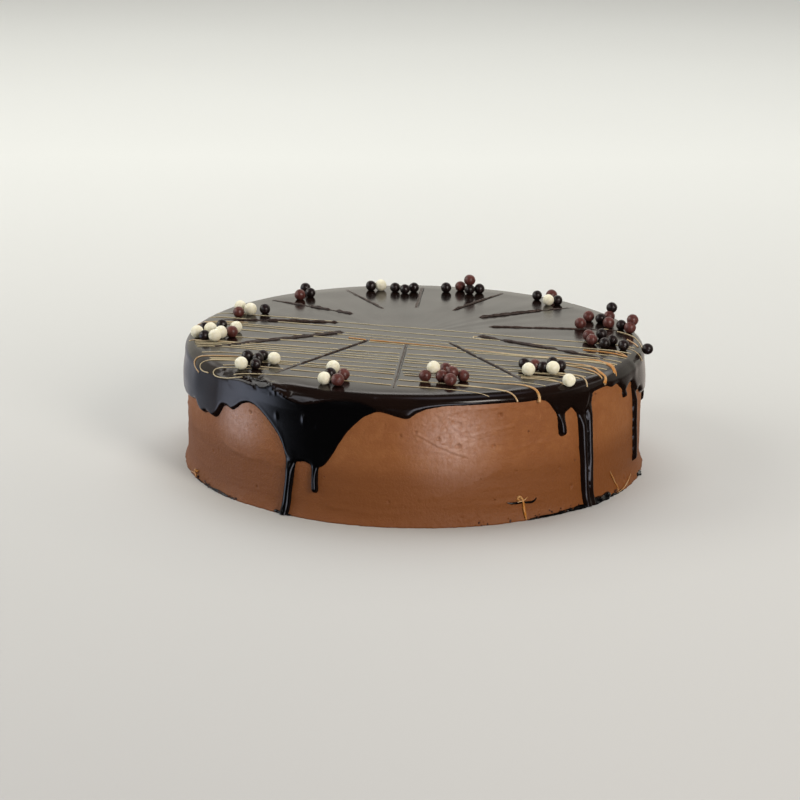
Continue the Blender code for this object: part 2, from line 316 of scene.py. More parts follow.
def far_pit(draw, angle, height):
    return (angle, height, draw.uniform(0.5, 1.1))


def far_rough(draw, angle, height):
    return (angle, height, draw.uniform(8, 18), draw.uniform(4, 9), draw.uniform(0.08, 0.2))


SMEARS += spread_round(far_smear, 3, 9, 12, 48)
PITS += spread_round(far_pit, 4, 26, 5, 50)
ROUGH_SPOTS += spread_round(far_rough, 5, 7, 4, 45)
print(len(SMEARS), "smears,", len(PITS), "pits and", len(ROUGH_SPOTS), "rough spots in the cream")


# %% Work out the relief
KNIFE_BANDS = ((0.16, 55, 6), (0.08, 22, 2.2), (0.256, 34, 26))  # depth, length and height in mm
SMEAR_GRAIN = 3
SMEAR_ANGLES = 26  # no smear reaches further than this from its first point, in degrees
PIT_ANGLES = 2
PIT_DEPTH = 1.1  # as a share of its radius, like the ring raised round it
PIT_RING = 0.28
PIT_RING_AT = 1.5
ROUGH_GRAIN = 2.4 * MM
FOOT_RAGGED = 0.5 * MM
FOOT_RAGGED_HEIGHT = 3.5 * MM
FOOT_GRAIN = 5 * MM
FADED = 3  # how many half widths from its middle a mark has died away


def distance_to_line(angle, height, points):
    """The distance on the unrolled wall from a point to a line of (angle, height in mm) points."""
    flat = [Vector((turned_by(a, angle) * BODY_DEGREE, h * MM - height)) for a, h in points]
    nearest = math.inf
    for start, end in zip(flat, flat[1:]):
        run = end - start
        part = min(max(-start.dot(run) / run.length_squared, 0), 1)
        nearest = min(nearest, (start + run * part).length)
    return nearest


def knife_marks(angle, height):
    """How far the cream stands out or in at this point of the wall."""
    turn = math.radians(angle)
    ring = Vector((math.sin(turn), math.cos(turn), 0)) * BODY_RADIUS
    out = sum(deep * MM * round_noise(angle, BODY_RADIUS, height, *size) for deep, *size in KNIFE_BANDS)
    for tall, wide, *points in SMEARS:
        if abs(turned_by(points[0][0], angle)) < SMEAR_ANGLES:
            near = distance_to_line(angle, height, points) / (wide * MM)
            if near < FADED:
                grain = 0.75 + 0.6 * round_noise(angle, BODY_RADIUS, height, SMEAR_GRAIN, SMEAR_GRAIN)
                out += tall * MM * math.exp(-near * near) * grain
    for pit_angle, pit_height, wide in PITS:
        across = turned_by(pit_angle, angle)
        if abs(across) < PIT_ANGLES:
            near = math.hypot(across * BODY_DEGREE, height - pit_height * MM) / (wide * MM)
            out -= PIT_DEPTH * wide * MM * math.exp(-near * near)
            out += PIT_RING * wide * MM * math.exp(-((near - PIT_RING_AT) ** 2) * 3)
    fine = None
    for spot_angle, spot_height, reach, reach_up, deep in ROUGH_SPOTS:
        across = turned_by(spot_angle, angle) * BODY_DEGREE / (reach * MM)
        near = across**2 + ((height - spot_height * MM) / (reach_up * MM)) ** 2
        if near < 4:
            if fine is None:
                fine = noise.fractal((ring + Vector((0, 0, height * 1.5))) / ROUGH_GRAIN, 0.6, 2.2, 3)
            out += deep * MM * math.exp(-near) * fine
    foot = max(0, 1 - height / FOOT_RAGGED_HEIGHT)
    return out + FOOT_RAGGED * foot * noise.fractal(ring / FOOT_GRAIN, 1, 2, 3)


# %% [markdown]
# The drum has more faces at the front right, where the finest marks are. An attribute keeps how smooth the
# knife left the cream at each point, and the material reads it later: for the roughness, and for a painted
# sheen in the colour.

# %% Model the cream body
POLISH_AND_PAINTED_SHEEN = (  # where the knife pressed the cream smooth and the colour gets a painted sheen: angle, height, reach round and reach up in mm
    (9.3, 45, 17, 19), (-47, 42, 15, 12), (150, 34, 40, 18), (235, 30, 34, 16),
)


CREAM_SEGMENTS, CREAM_COURSES = 900, 86
CREAM_DETAIL, CREAM_CROWDING = 10, 0.45  # the angle where the faces gather, and how much
BODY_FLAT = BODY_RADIUS - BODY_CORNER


def polish_and_painted_sheen_at(point):
    """How smooth the knife left the cream at a point, from 0 to 1. The colour's painted sheen follows it too.
    """
    angle = angle_of(point)
    most = 0.0
    for spot_angle, height, reach, reach_up in POLISH_AND_PAINTED_SHEEN:
        across = turned_by(angle, spot_angle) * BODY_DEGREE / (reach * MM)
        most = max(most, math.exp(-(across**2) - ((point.z - height * MM) / (reach_up * MM)) ** 2))
    return most


def place_cream(point):
    """Gathers the faces where the detail is, and shapes the wall. The ends stay flat."""
    point = crowd_round(point, CREAM_DETAIL, CREAM_CROWDING)
    radius = math.hypot(point.x, point.y)
    if radius < BODY_FLAT - 0.1 * MM:
        return point
    out = Vector((point.x, point.y, 0)) / radius
    angle = angle_of(point)
    return point + out * (wall_waves(angle, point.z) + knife_marks(angle, point.z))


cream = drum(
    "cream_body", BODY_RADIUS, 0, BODY_HEIGHT,
    CREAM_SEGMENTS, BODY_CORNER, 4, CREAM_COURSES, (4 * MM, 30 * MM),
)
move_points(cream, place_cream)
polish_and_painted_sheen = cream.data.attributes.new("polish_and_painted_sheen", "FLOAT", "POINT")
for vertex, spot in zip(cream.data.vertices, polish_and_painted_sheen.data):
    spot.value = polish_and_painted_sheen_at(vertex.co)
bpy.ops.object.shade_smooth()
print("cream body:", len(cream.data.polygons), "faces")

# %% [markdown]
# ## The ganache coat: where it reaches
#
# Warm ganache was poured on the cold cake. It lies level on top, rolls over the shoulder and stops part way
# down the wall in a wandering line, with runs that end in round, heavier tips. Its lower edge is a rounded
# bead, because the liquid pulls itself together. A second pour at the front left stopped short of the first
# one, so a rolled lip crosses the wide run there.
#
# The coat is a height field over the wall. `ganache_thickness` says how thick the skin is at each angle and
# height, and where it is less than nothing there is bare cream. Heights are measured up along the coat's own
# face, so that they go on over the shoulder.

# %% Lines of the coat
COAT_EDGE = (  # the lower edge: angle, height in mm
    (-78, 38), (-72, 39.2), (-67, 41), (-64.7, 38), (-62.8, 37), (-59.8, 38.6), (-57.6, 37.8),
    (-56, 38.2), (-54.2, 40.8), (-52.3, 45.3), (-50.4, 46), (-48.9, 45.2), (-47.1, 47), (-45.2, 49.8),
    (-43, 51.3), (-41, 51), (-39, 49.2), (-37.1, 46.4), (-35.2, 42.9), (-33.4, 38.6), (-32.2, 34),
    (-31.3, 29.5), (-29.8, 27.4), (-28, 27.4), (-26.2, 28.1), (-24.8, 27.2), (-23.4, 26.4), (-22, 26.6),
    (-20.6, 29), (-19.1, 33.7), (-17.6, 39.1), (-15.7, 44.9), (-13.5, 49.9), (-11.4, 53.7), (-8.5, 56.3),
    (-6.4, 55.8), (-3.5, 54.1), (-1.4, 53.6), (0.6, 56.3), (3.1, 58.5), (6.1, 59.8), (10, 60.3),
    (17.6, 60.3), (24.5, 59.8), (26.7, 59.3), (28.9, 59.5), (31.1, 58.9), (32.8, 57), (34, 54.2),
    (35.4, 50.8), (37.4, 50), (38.8, 51.2), (40, 52.2), (41.2, 49.6), (43, 47.5), (45, 51), (45.9, 55.6),
    (47.5, 57.2), (50, 57.8), (52.6, 57.8), (54.9, 56.4), (57.2, 56.9), (59.4, 54), (61.5, 51.5),
    (64, 53.4), (66, 53.6), (69, 47), (72, 47.5), (76, 43), (80, 40.4), (88, 40), (96, 49),
    (104, 52), (112, 43), (120, 47), (129, 56), (139, 52), (148, 45), (157, 50), (168, 57),
    (179, 53), (189, 46), (198, 50), (209, 57), (219, 54), (228, 45), (238, 41), (247, 50),
    (256, 54), (265, 46), (274, 40),
)
POUR_LIP = (  # the second pour's lip: angle, height in mm measured up over the shoulder
    (-62, 70), (-56, 69), (-49, 65.5), (-43.5, 71.5), (-39.5, 66.5), (-36, 64), (-34, 61.4), (-31, 58.5),
    (-27, 56.7), (-24.5, 57.4), (-20.5, 60), (-16, 61.5), (-12.5, 61), (-9.5, 58.8), (-7, 55),
    (0, 50),
)
DRIPS = (  # angle at the top, angle at the tip, tip height, width and thickness in mm
    (-29.6, -31.7, 1, 5, 2.7), (-23.5, -23.5, 13.4, 3.5, 2.5), (36.5, 37.2, 39, 4.4, 2.6),
    (43.1, 45.8, 1, 4.6, 2.7), (45.3, 47.4, 1, 4.2, 2.5), (61.3, 61.8, 48, 3.8, 2.4),
    (68.5, 70.8, 10, 4.6, 2.1), (90, 90.4, 30, 4.4, 2.4), (112.5, 112, 14, 4.4, 2.6),
    (121, 121.6, 33, 3.8, 2.2), (147.5, 148.2, 20, 4.6, 2.6), (161, 160.4, 39, 3.6, 2.2),
    (188.5, 188, 8, 4.4, 2.6), (197, 197.6, 36, 3.8, 2.2), (227, 226.2, 26, 4.6, 2.6),
    (238.5, 239, 12, 4.2, 2.4), (266, 265.4, 29, 4, 2.4),
)
DRIP_ROOT = 3.0 * MM
DRIP_FLARE = 0.8
DRIP_FLARE_LENGTH = 2.6 * MM
DRIP_FILL = 9.0 * MM  # down from the root, where the strand has its full thickness
DRIP_FILL_ROOT = 0.35
DRIP_WAIST = 0.12
DRIP_WANDER = 0.25 * MM
DRIP_WANDER_LENGTH = 9 * MM
DRIP_OVER = -3 * MM  # the long runs go on under the board's level, so that no tip shows


# %% Curves through points
def curved(before, start, end, after, t):
    """A point at share t between start and end, on a smooth curve that heads for both neighbours."""
    bend_in = (end - before) / 2 * (t**3 - 2 * t**2 + t)
    bend_out = (after - start) / 2 * (t**3 - t**2)
    return start + (end - start) * (3 * t**2 - 2 * t**3) + bend_in + bend_out


def through(points, value, closed=False):
    """A smooth curve through (place, value) points, read at one place."""
    count = len(points)
    first = points[0][0]
    turn = (value - first) % 360 if closed else value - first
    at = max([i for i, (place, _) in enumerate(points) if place - first <= turn], default=0)
    if not closed:
        at = min(at, count - 2)
    near = [points[(at + step) % count] if closed else points[min(max(at + step, 0), count - 1)]
            for step in (-1, 0, 1, 2)]
    span = near[2][0] - near[1][0]
    t = (turn - (near[1][0] - first)) / (span % 360 if closed else span)
    return curved(*(level for _, level in near), min(max(t, 0), 1))


def line_at(points, angle, closed=False):
    """A line's height at this angle, and how much a step up from it counts where the line slopes."""
    height = through(points, angle, closed) * MM
    slope = (through(points, angle + 0.5, closed) - through(points, angle - 0.5, closed)) * MM / COAT_DEGREE
    return height, 1 / math.sqrt(1 + slope**2)


@lru_cache(maxsize=None)
def edge_at(angle):
    """The coat's lower edge. The cache keeps each answer, because a whole column of points asks for it."""
    return line_at(COAT_EDGE, angle, closed=True)


@lru_cache(maxsize=None)
def lip_at(angle):
    return line_at(POUR_LIP, angle)


def over_lip(angle, up):
    """How far above the second pour's lip a place on the coat is."""
    lip, level = lip_at(round(angle, 2))
    return (up - lip) * level


# %% The skin and the drips
EDGE_STEEP = 1.7
DIP = 0.7 * MM  # how deep bare places sink into the cream
BEAD = 0.08 * MM
BEAD_INSIDE = 1.7 * MM
BEAD_WIDTH = 1.1 * MM


def smooth_more(a, b, reach):
    """The larger of two values, with the corner between them rounded off."""
    near = max(reach - abs(a - b), 0) / reach
    return max(a, b) + near * near * reach / 4


def film(inside, thickness):
    """The skin's thickness this far inside its edge: steep at the edge, then level, with a low bead."""
    if inside <= 0:
        return max(EDGE_STEEP * inside, -DIP)
    bead = BEAD * math.exp(-(((inside - BEAD_INSIDE) / BEAD_WIDTH) ** 2))
    return thickness * math.tanh(EDGE_STEEP * inside / thickness) + bead


def run_thickness(angle, up, run):
    """One drip: a rounded strand with a flared root, a slight waist and a fuller tip."""
    top_angle, tip_angle, tip, width, thick = run
    start = edge_at(round(top_angle % 360, 2))[0] + DRIP_ROOT
    radius = width * MM / 2
    low = tip * MM + radius if tip > 2 else DRIP_OVER
    part = min(max((start - up) / (start - low), 0), 1)
    wander = DRIP_WANDER * noise.noise(Vector((top_angle, up / DRIP_WANDER_LENGTH, 0)))
    axis = top_angle + part * (tip_angle - top_angle)
    across = turned_by(angle, axis) * COAT_DEGREE + wander
    along = up - min(max(up, low), start)
    down = max(start - up, 0)
    flare = 1 + DRIP_FLARE * math.exp(-down / DRIP_FLARE_LENGTH)
    wide = radius * flare * (1 - DRIP_WAIST * math.sin(math.pi * part) ** 2)
    inside = wide - math.hypot(across, along)
    if inside <= 0:
        return max(EDGE_STEEP * inside, -DIP)
    fill = DRIP_FILL_ROOT + (1 - DRIP_FILL_ROOT) * smoothstep(0, DRIP_FILL, down)
    part = min(inside / wide, 1)
    return thick * MM * fill * math.sqrt(2 * part - part**2)


# %% [markdown]
# The surface has its own forms. Where the second pour set against the first, at the front left, its skin
# wrinkled and the shoulder there is fuller and squarer than elsewhere. Low swellings show where drops set
# into the skin. The top falls a little towards the rim, because the ganache ran off there.

# %% Folds, swellings and the fall at the rim
FOLDS = (  # half width and height in mm, then angles and heights in mm. Below zero it is a crease
    (0.75, 0.9, (-44.5, 66.6), (-41.8, 66), (-39.5, 65.2), (-37.5, 64.2), (-36, 63), (-34.2, 60.8)),
    (0.75, 0.5, (-34.2, 60.8), (-32.2, 61), (-30.5, 58.8), (-29, 56.6), (-27.6, 56)),
    (0.75, 0.6, (-36.5, 64.3), (-34.8, 63.6), (-33, 63.8), (-31.5, 63.8)),
    (0.8, -0.8, (-43.9, 65), (-42.2, 64.2), (-40.8, 62.5), (-40, 60.2)),
    (0.75, -0.6, (-34.6, 62.6), (-31.5, 61.8), (-30, 61)),
    (0.75, -0.6, (-53, 63.4), (-49.5, 62.9), (-46, 64.2), (-43.9, 65)),
    (0.75, 0.45, (-50, 61), (-48, 61.9), (-45.8, 62.6), (-43.6, 63.2)),
)
WRINKLED_ANGLE, WRINKLED_UP = -41, 64 * MM
WRINKLED_ANGLES, WRINKLED_HEIGHT = 7, 5 * MM
WRINKLE_DEPTH = 0.3 * MM
WRINKLE_TURN, WRINKLE_HEIGHT = 0.525, 2.6 * MM  # the noise goes this far in a degree, and is this tall
SPOT_ENDS = 6  # the square of how many half widths from its middle a swelling has died away


def rim_wrinkles(angle, up):
    """The folds and creases at the front left rim, on low, uneven wrinkles."""
    across = turned_by(angle, WRINKLED_ANGLE) / WRINKLED_ANGLES
    near = across**2 + ((up - WRINKLED_UP) / WRINKLED_HEIGHT) ** 2
    if near > SPOT_ENDS:
        return 0
    wrinkle = noise.noise(Vector((angle * WRINKLE_TURN, up / WRINKLE_HEIGHT, 0)))
    out = math.exp(-near) * WRINKLE_DEPTH * wrinkle
    for wide, tall, *points in FOLDS:
        near = distance_to_line(angle, up, points) / (wide * MM)
        if near < FADED:
            out += tall * MM * math.exp(-near * near)
    return out


RIM_FALL = 0.14  # the slope at the rim
RIM_FALL_INSIDE = 12 * MM
RIM_FALL_OUTSIDE = 3 * MM
RIM_UP = COAT_BEND + COAT_CORNER * math.pi / 2  # where the shoulder meets the flat top, up along the face


def rim_sag(up):
    """How far the coat's face lies below its level: the top falls a little towards the rim."""
    inside, outside = max(up - RIM_UP, 0), min(max(RIM_UP - up, 0), RIM_FALL_OUTSIDE)
    sag = RIM_FALL * RIM_FALL_INSIDE / 2 * max(1 - inside / RIM_FALL_INSIDE, 0) ** 2
    sag += RIM_FALL * (outside - outside**2 / (2 * RIM_FALL_OUTSIDE))
    return sag * smoothstep(COAT_BEND - RIM_FALL_INSIDE, COAT_BEND, up)


KNOBS = (  # low swellings in the skin: angle, height, half width, half height and tallness in mm
    (-26.1, 49.8, 1, 2.1, 0.75), (-33.6, 48.8, 0.9, 1.3, 0.5), (-22.6, 46.8, 0.9, 1.4, 0.4),
    (-7.6, 58.6, 5, 2.6, 0.5), (-9.4, 63.4, 0.9, 0.8, 0.3), (-8.6, 61.4, 0.9, 0.8, 0.26),
    (-35.8, 58.1, 1.1, 1.6, 0.36), (-20.6, 34, 1.6, 4, 0.35), (-66, 54, 7, 9, 0.4),
    (-41.6, 57, 2.4, 6.5, -0.35), (68, 60, 4, 6, 0.4), (52, 63, 7, 3, 0.3),
)


def knobs(angle, up):
    """How far the skin stands out in its low swellings."""
    out = 0
    for spot_angle, height, wide, high, tall in KNOBS:
        across = turned_by(angle, spot_angle) * COAT_DEGREE / (wide * MM)
        near = across**2 + ((up - height * MM) / (high * MM)) ** 2
        if near < SPOT_ENDS:
            out += tall * MM * math.exp(-near)
    return out


# %% How thick the ganache lies
POUR_ANGLES = (-64, -4)  # the two pours meet between these angles
LIP_ANGLES = (-56, -46, -11, -8)  # where its lip starts, is full, fades and ends
SQUARE_ANGLES = (-53, -46, -37, -30)
FIRST_POUR = 1.25 * MM
LIP_BELOW, LIP_ABOVE = -0.5 * MM, 0.9 * MM  # the step from the first pour's skin to the second's
LIP_BEAD, LIP_BEAD_WIDTH = 0.35 * MM, 0.7 * MM
RIM_SQUARE, RIM_SQUARE_UP, RIM_SQUARE_WIDTH = 1.6 * MM, 63.5 * MM, 3.2 * MM
SKIN_WAVE, SKIN_WAVE_SIZE = 0.2 * MM, (16, 12)
RUN_ANGLES = 6  # no run reaches further than this from its own angle
RUN_MERGE, EDGE_MERGE = 1.3 * MM, 0.9 * MM
DEEPEST = -0.6  # no mark goes deeper than this share of the skin


def ganache_thickness(angle, up):
    """The skin's thickness at this angle and height. Below zero there is bare cream."""
    edge, level = edge_at(round(angle % 360, 2))
    thickness = COAT_THICKNESS
    extra = 0
    if POUR_ANGLES[0] < angle < POUR_ANGLES[1]:
        above = over_lip(angle, up)
        weight = within(*LIP_ANGLES, angle)
        thickness -= weight * (COAT_THICKNESS - FIRST_POUR) * (1 - smoothstep(LIP_BELOW, LIP_ABOVE, above))
        extra += weight * LIP_BEAD * math.exp(-(((above - LIP_ABOVE) / LIP_BEAD_WIDTH) ** 2))
        square = RIM_SQUARE * within(*SQUARE_ANGLES, angle)
        extra += square * math.exp(-(((up - RIM_SQUARE_UP) / RIM_SQUARE_WIDTH) ** 2))
        extra += rim_wrinkles(angle, up)
    coat = film((up - edge) * level, thickness)
    runs = -DIP
    for run in DRIPS:
        if abs(turned_by(angle, (run[0] + run[1]) / 2)) < RUN_ANGLES:
            here = run_thickness(angle, up, run)
            runs = smooth_more(runs, here, RUN_MERGE) if runs > -DIP else here
    thick = smooth_more(coat, runs, EDGE_MERGE)
    if thick > 0:
        wave = SKIN_WAVE * round_noise(angle, COAT_RADIUS, up, *SKIN_WAVE_SIZE)
        relief = wave + extra + knobs(angle, up) - rim_sag(up)
        thick += min(thick / (2 * MM), 1) * max(relief, DEEPEST * thick)
    return thick


# %% [markdown]
# ## The ganache coat: the solid skin
#
# The coat starts from the same drum as the cream. Its points move out along the surface by the thickness
# above; bare places sink just under the cream. Two rounds of smoothing settle it. A plain core, slightly
# smaller than the cream, is then taken out of it with a Boolean. What stays is one closed skin, and its edge
# is exactly where the skin sinks into the cream, however the runs branch.


# %% Model the coat and take out its core
def along_coat(point):
    """How far up the coat's face a point is, over the shoulder and in along the top, and the way out there."""
    radius = math.hypot(point.x, point.y)
    if point.z <= COAT_BEND + HAIR:
        turn = 0.0
    else:
        turn = math.atan2(point.z - COAT_BEND, max(radius - COAT_FLAT, 0))
    up = min(point.z, COAT_BEND) + COAT_CORNER * turn + max(COAT_FLAT - radius, 0)
    side = Vector((point.x, point.y, 0)).normalized() * math.cos(turn)
    return up, side + Vector((0, 0, math.sin(turn)))


COAT_FOOT = 0.3 * MM
COAT_SEGMENTS, COAT_COURSES = 1400, 82
COAT_DETAIL, COAT_CROWDING = -38, 0.3
WALL_CROWDING = 0.5  # how much the courses gather towards the shoulder
COAT_LEVEL = COAT_FLAT - 15 * MM  # inside this the top stays as it is
CORE_SEGMENTS, CORE_COURSES = 240, 16
CORE_BOTTOM = -5 * MM
SKIN_TUCK = 0.25 * MM  # how far the skin reaches into the cream, so that no gap shows


def place_coat(point):
    """Gathers the faces where the detail is, and lays the ganache on."""
    point = crowd_round(point, COAT_DETAIL, COAT_CROWDING)
    if math.hypot(point.x, point.y) < COAT_LEVEL:
        return point
    if point.z < COAT_BEND:
        part = (point.z - COAT_FOOT) / (COAT_BEND - COAT_FOOT)
        point.z = COAT_FOOT + (COAT_BEND - COAT_FOOT) * part * (1 + WALL_CROWDING * (1 - part))
    up, out = along_coat(point)
    angle = angle_of(point)
    lean = wall_waves(angle, point.z) * (out.x**2 + out.y**2) if point.z < COAT_TOP - HAIR else 0
    return point + out * (lean + ganache_thickness(angle, up) - COAT_THICKNESS)


def place_core(point):
    """The cream's slow unevenness without its fine marks."""
    radius = math.hypot(point.x, point.y)
    if radius < BODY_FLAT - 1 * MM:
        return point
    out = Vector((point.x, point.y, 0)) / radius
    return point + out * wall_waves(angle_of(point), max(point.z, 0))


def take_out(target, tool):
    """Takes the tool's shape out of the target with a Boolean, and removes the tool."""
    modified(target, "BOOLEAN", operation="DIFFERENCE", solver="MANIFOLD", object=tool)
    bpy.data.objects.remove(tool)


coat = drum(
    "ganache_coat", COAT_RADIUS, COAT_FOOT, COAT_TOP,
    COAT_SEGMENTS, COAT_CORNER, 12, COAT_COURSES, (2 * MM,) * 7,
)
move_points(coat, place_coat)
modified(coat, "SMOOTH", factor=0.5, iterations=2)
core = drum(
    "core", BODY_RADIUS - SKIN_TUCK, CORE_BOTTOM, BODY_HEIGHT - SKIN_TUCK,
    CORE_SEGMENTS, BODY_CORNER, 4, CORE_COURSES, (4 * MM,),
)
move_points(core, place_core)
take_out(coat, core)
print("coat after its core is out:", len(coat.data.polygons), "faces")

# %% [markdown]
# ## Score marks
#
# Twelve marks show where to cut the portions. A knife was pressed into the setting ganache: it left a thin
# groove, and on the far side a rough burr that stands up from the surface. The marks fan out from a point a
# little behind the centre. The ones that point to the front are finer, because the knife went in more
# cleanly there.

# %% Where the marks lie
PORTIONS = 12
MARK_CENTRE = Vector((-1.0, 17.0, 0)) * MM
MARK_TURN = 26.2
MARK_INNER = 39.5 * MM
MARK_OUTER = 104.0 * MM
GROOVE_WIDTH = 1.1 * MM
GROOVE_DEPTH = 1.0 * MM
GROOVE_OVER = 3 * MM  # how far a groove's cutter stands over the top
GROOVE_NARROWER, BURR_NARROWER = 0.25, 0.45  # how much finer the marks at the front are
SWAY = 0.15 * MM
BURR_WIDTH = 1.5 * MM
BURR_SUNK = 0.5 * MM
BURR_STARTS, BURR_ENDS = 2.5, 22  # mm over which a burr rises at its start and dies away at its end
BURR_TORN, BURR_BREAKS = 4.2, 9  # mm between its rough crests, and between its breaks
BURR_HEIGHTS = (1.2, 1.0, 0.4, 0.7, 1.1, 1.2, 1.2, 0.7, 0.45, 0.7, 1.1, 0.8)  # mm, one to a mark


def mark_line(index):
    """Where one mark starts, the way it runs, the way across it to the back, its length, and its frontness."""
    turn = math.radians(MARK_TURN + index * 360 / PORTIONS)
    along = Vector((math.cos(turn), math.sin(turn), 0))
    across = Vector((-along.y, along.x, 0))
    if across.y < 0:
        across = -across
    outer = MARK_OUTER - MARK_CENTRE.dot(along)
    front = max(0, -along.y)
    return MARK_CENTRE + along * MARK_INNER, along, across, outer - MARK_INNER, front


def sway_of(index, part):
    """How far a mark strays from its straight line."""
    return SWAY * noise.noise(Vector((index * 7, part * 5, 0)))


def unit_bar(long_cuts, wide_cuts, high_cuts):
    """A bar from 0 to 1 along X, -0.5 to 0.5 along Y and 0 to 1 along Z, cut evenly."""
    start_clean()
    bpy.ops.mesh.primitive_cube_add(size=1, location=(0.5, 0, 0.5))
    bar = bpy.context.object
    bpy.ops.object.transform_apply(location=True)
    for axis, cuts in enumerate((long_cuts, wide_cuts, high_cuts)):
        if cuts:
            cut_along(bar, axis, cuts)
    return bar


# %% Cut the grooves
grooves = []
for index in range(PORTIONS):
    start, along, across, length, front = mark_line(index)
    groove = unit_bar(12, 0, 0)

    def place_groove(point):
        taper = 0.25 + 0.75 * min(1, 12 * point.x, 12 * (1 - point.x))
        wide = GROOVE_WIDTH * (1 - GROOVE_NARROWER * front) * taper * (0.55 + 0.45 * point.z)
        deep = -GROOVE_DEPTH * taper + point.z * (GROOVE_DEPTH * taper + GROOVE_OVER)
        flat = start + along * point.x * length + across * (point.y * wide + sway_of(index, point.x))
        return Vector((flat.x, flat.y, COAT_TOP + deep))

    move_points(groove, place_groove)
    grooves.append(groove)
take_out(coat, joined(grooves, "grooves"))

# %% Raise the burrs
burrs = []
for index in range(PORTIONS):
    start, along, across, length, front = mark_line(index)
    burr = unit_bar(110, 5, 2)
    tall = BURR_HEIGHTS[index] * MM
    wide = BURR_WIDTH * (1 - BURR_NARROWER * front)

    def place_burr(point):
        run = point.x * length / MM
        rough = noise.fractal(Vector((run / BURR_TORN, point.y * 1.2, index * 9)), 0.9, 2.3, 3)
        broken = smoothstep(-0.45, -0.1, noise.noise(Vector((run / BURR_BREAKS, index * 5, 3))))
        ends = min(1, run / BURR_STARTS, (length / MM - run) / BURR_ENDS)
        crown = 1 - (2 * abs(point.y)) ** 2.2
        rise = tall * ends * (0.3 + 0.7 * broken) * (0.85 + 0.35 * rough)
        side = point.y * wide * (0.7 + 0.3 * broken) + 0.25 * MM * rough * point.z
        side += sway_of(index, point.x) + (GROOVE_WIDTH + wide) / 2
        flat = start + along * run * MM + across * side
        top = rise * (0.15 + 0.85 * max(crown, 0))
        return Vector((flat.x, flat.y, COAT_TOP - BURR_SUNK + point.z * (BURR_SUNK + top)))

    move_points(burr, place_burr)
    burrs.append(burr)
skin_faces = len(coat.data.polygons)
coat = joined([coat, *burrs], "ganache_coat")
print("coat with its marks:", len(coat.data.polygons), "faces")

# %% [markdown]
# The coat is shaded smooth up to 45 degrees, so that the grooves keep their edges. The level top is left
# flat: Booleans leave long thin triangles there, and smooth shading would stain them. An attribute says
# where the second pour lies, for the material: under the second pour's lip, the first pour is painted darker,
# as painted shade in the recess.

# %% Shade the coat and mark its two pours
FLAT_TOP = 0.9999  # the upward part of a level face's normal
# Where the first pour is painted darker under the lip, as painted shade.
PAINTED_SHADE_ANGLES = (-48, -36, -9, -5)
PAINTED_SHADE_BELOW, PAINTED_SHADE_ABOVE = -0.3 * MM, 0.5 * MM
bpy.ops.object.shade_smooth_by_angle(angle=math.radians(45))
for face in coat.data.polygons:
    if face.normal.z > FLAT_TOP:
        face.use_smooth = False
second = coat.data.attributes.new("second_pour_unshaded", "FLOAT", "POINT")
for vertex, spot in zip(coat.data.vertices, second.data):
    angle = turned_by(angle_of(vertex.co), 0)
    spot.value = 1.0
    if POUR_ANGLES[0] < angle < POUR_ANGLES[1]:
        above = over_lip(angle, along_coat(vertex.co)[0])
        spot.value = 1 - within(*PAINTED_SHADE_ANGLES, angle) * (1 - smoothstep(PAINTED_SHADE_BELOW, PAINTED_SHADE_ABOVE, above))
print(sum(spot.value < 0.5 for spot in second.data), "points on the first pour")

# %% [markdown]
# ## Caramel drizzle
#
# A thin caramel was swung back and forth over the front of the cake. It lies in fine, nearly parallel
# threads, tan where they are thin and amber where they are thick, turns back on itself at the left rim, and
# falls over the shoulder at the right. Each thread is a curve with a round section, half sunk in the
# ganache, which was still soft. `on_coat` wraps a plan point over the shoulder and down the wall.


# %% Threads on the coat
THREAD_LIFT = 0.06  # the middle of a thread over the surface, as a share of its width
DIP_AT_MARK = 0.9 * MM


def on_coat(x, y, lift):
    """A point lifted off the coat, with the plan wrapped over its rounded shoulder and down its side."""
    plan = Vector((x, y, 0))
    beyond = plan.length - COAT_FLAT
    if beyond <= 0:
        return Vector((x, y, COAT_TOP + lift - rim_sag(RIM_UP - beyond)))
    out = plan.normalized()
    quarter = COAT_CORNER * math.pi / 2
    bend = min(beyond, quarter) / COAT_CORNER
    down = max(beyond - quarter, 0)
    normal = out * math.sin(bend) + Vector((0, 0, math.cos(bend)))
    centre = out * COAT_FLAT + Vector((0, 0, COAT_BEND - down))
    return centre + normal * (COAT_CORNER + lift - rim_sag(RIM_UP - beyond))


def dip_at_marks(x, y):
    """How deep a thread is pressed in where a mark was cut across it."""
    near, far = -0.6 * GROOVE_WIDTH, 0.5 * GROOVE_WIDTH + BURR_WIDTH
    for index in range(PORTIONS):
        start, along, across, length, _ = mark_line(index)
        offset = Vector((x, y, 0)) - start
        if 0 < offset.dot(along) < length and near < offset.dot(across) < far:
            return DIP_AT_MARK
    return 0


def bare_curve(name, kind, depth):
    """A curve object with one empty spline of this kind, and a round section of this radius."""
    start_clean()
    bpy.ops.curve.primitive_bezier_curve_add()
    made = bpy.context.object
    made.name = name
    made.data.dimensions = "3D"
    made.data.splines.clear()
    made.data.bevel_depth = depth
    made.data.bevel_resolution = 1
    made.data.use_fill_caps = True
    return made.data, made.data.splines.new(kind)


def as_mesh(amber_of):
    """Makes the active curve a mesh, and gives each vertex its amber share by amber_of(number, count)."""
    bpy.ops.object.convert(target="MESH")
    made = bpy.context.object
    share = made.data.attributes.new("amber", "FLOAT", "POINT")
    for at, spot in enumerate(share.data):
        spot.value = amber_of(at, len(share.data))
    return made


def thread(name, points, widths, ambers):
    """One caramel thread along plan points, with a width in metres and an amber share at each."""
    _, spline = bare_curve(name, "POLY", 0.5)
    spline.points.add(len(points) - 1)
    for spot, point, width in zip(spline.points, points, widths):
        lift = THREAD_LIFT * width - dip_at_marks(point.x, point.y)
        spot.co = (*on_coat(point.x, point.y, lift), 1)
        spot.radius = width
    return as_mesh(lambda at, count: ambers[min(at // max(1, count // len(points)), len(ambers) - 1)])


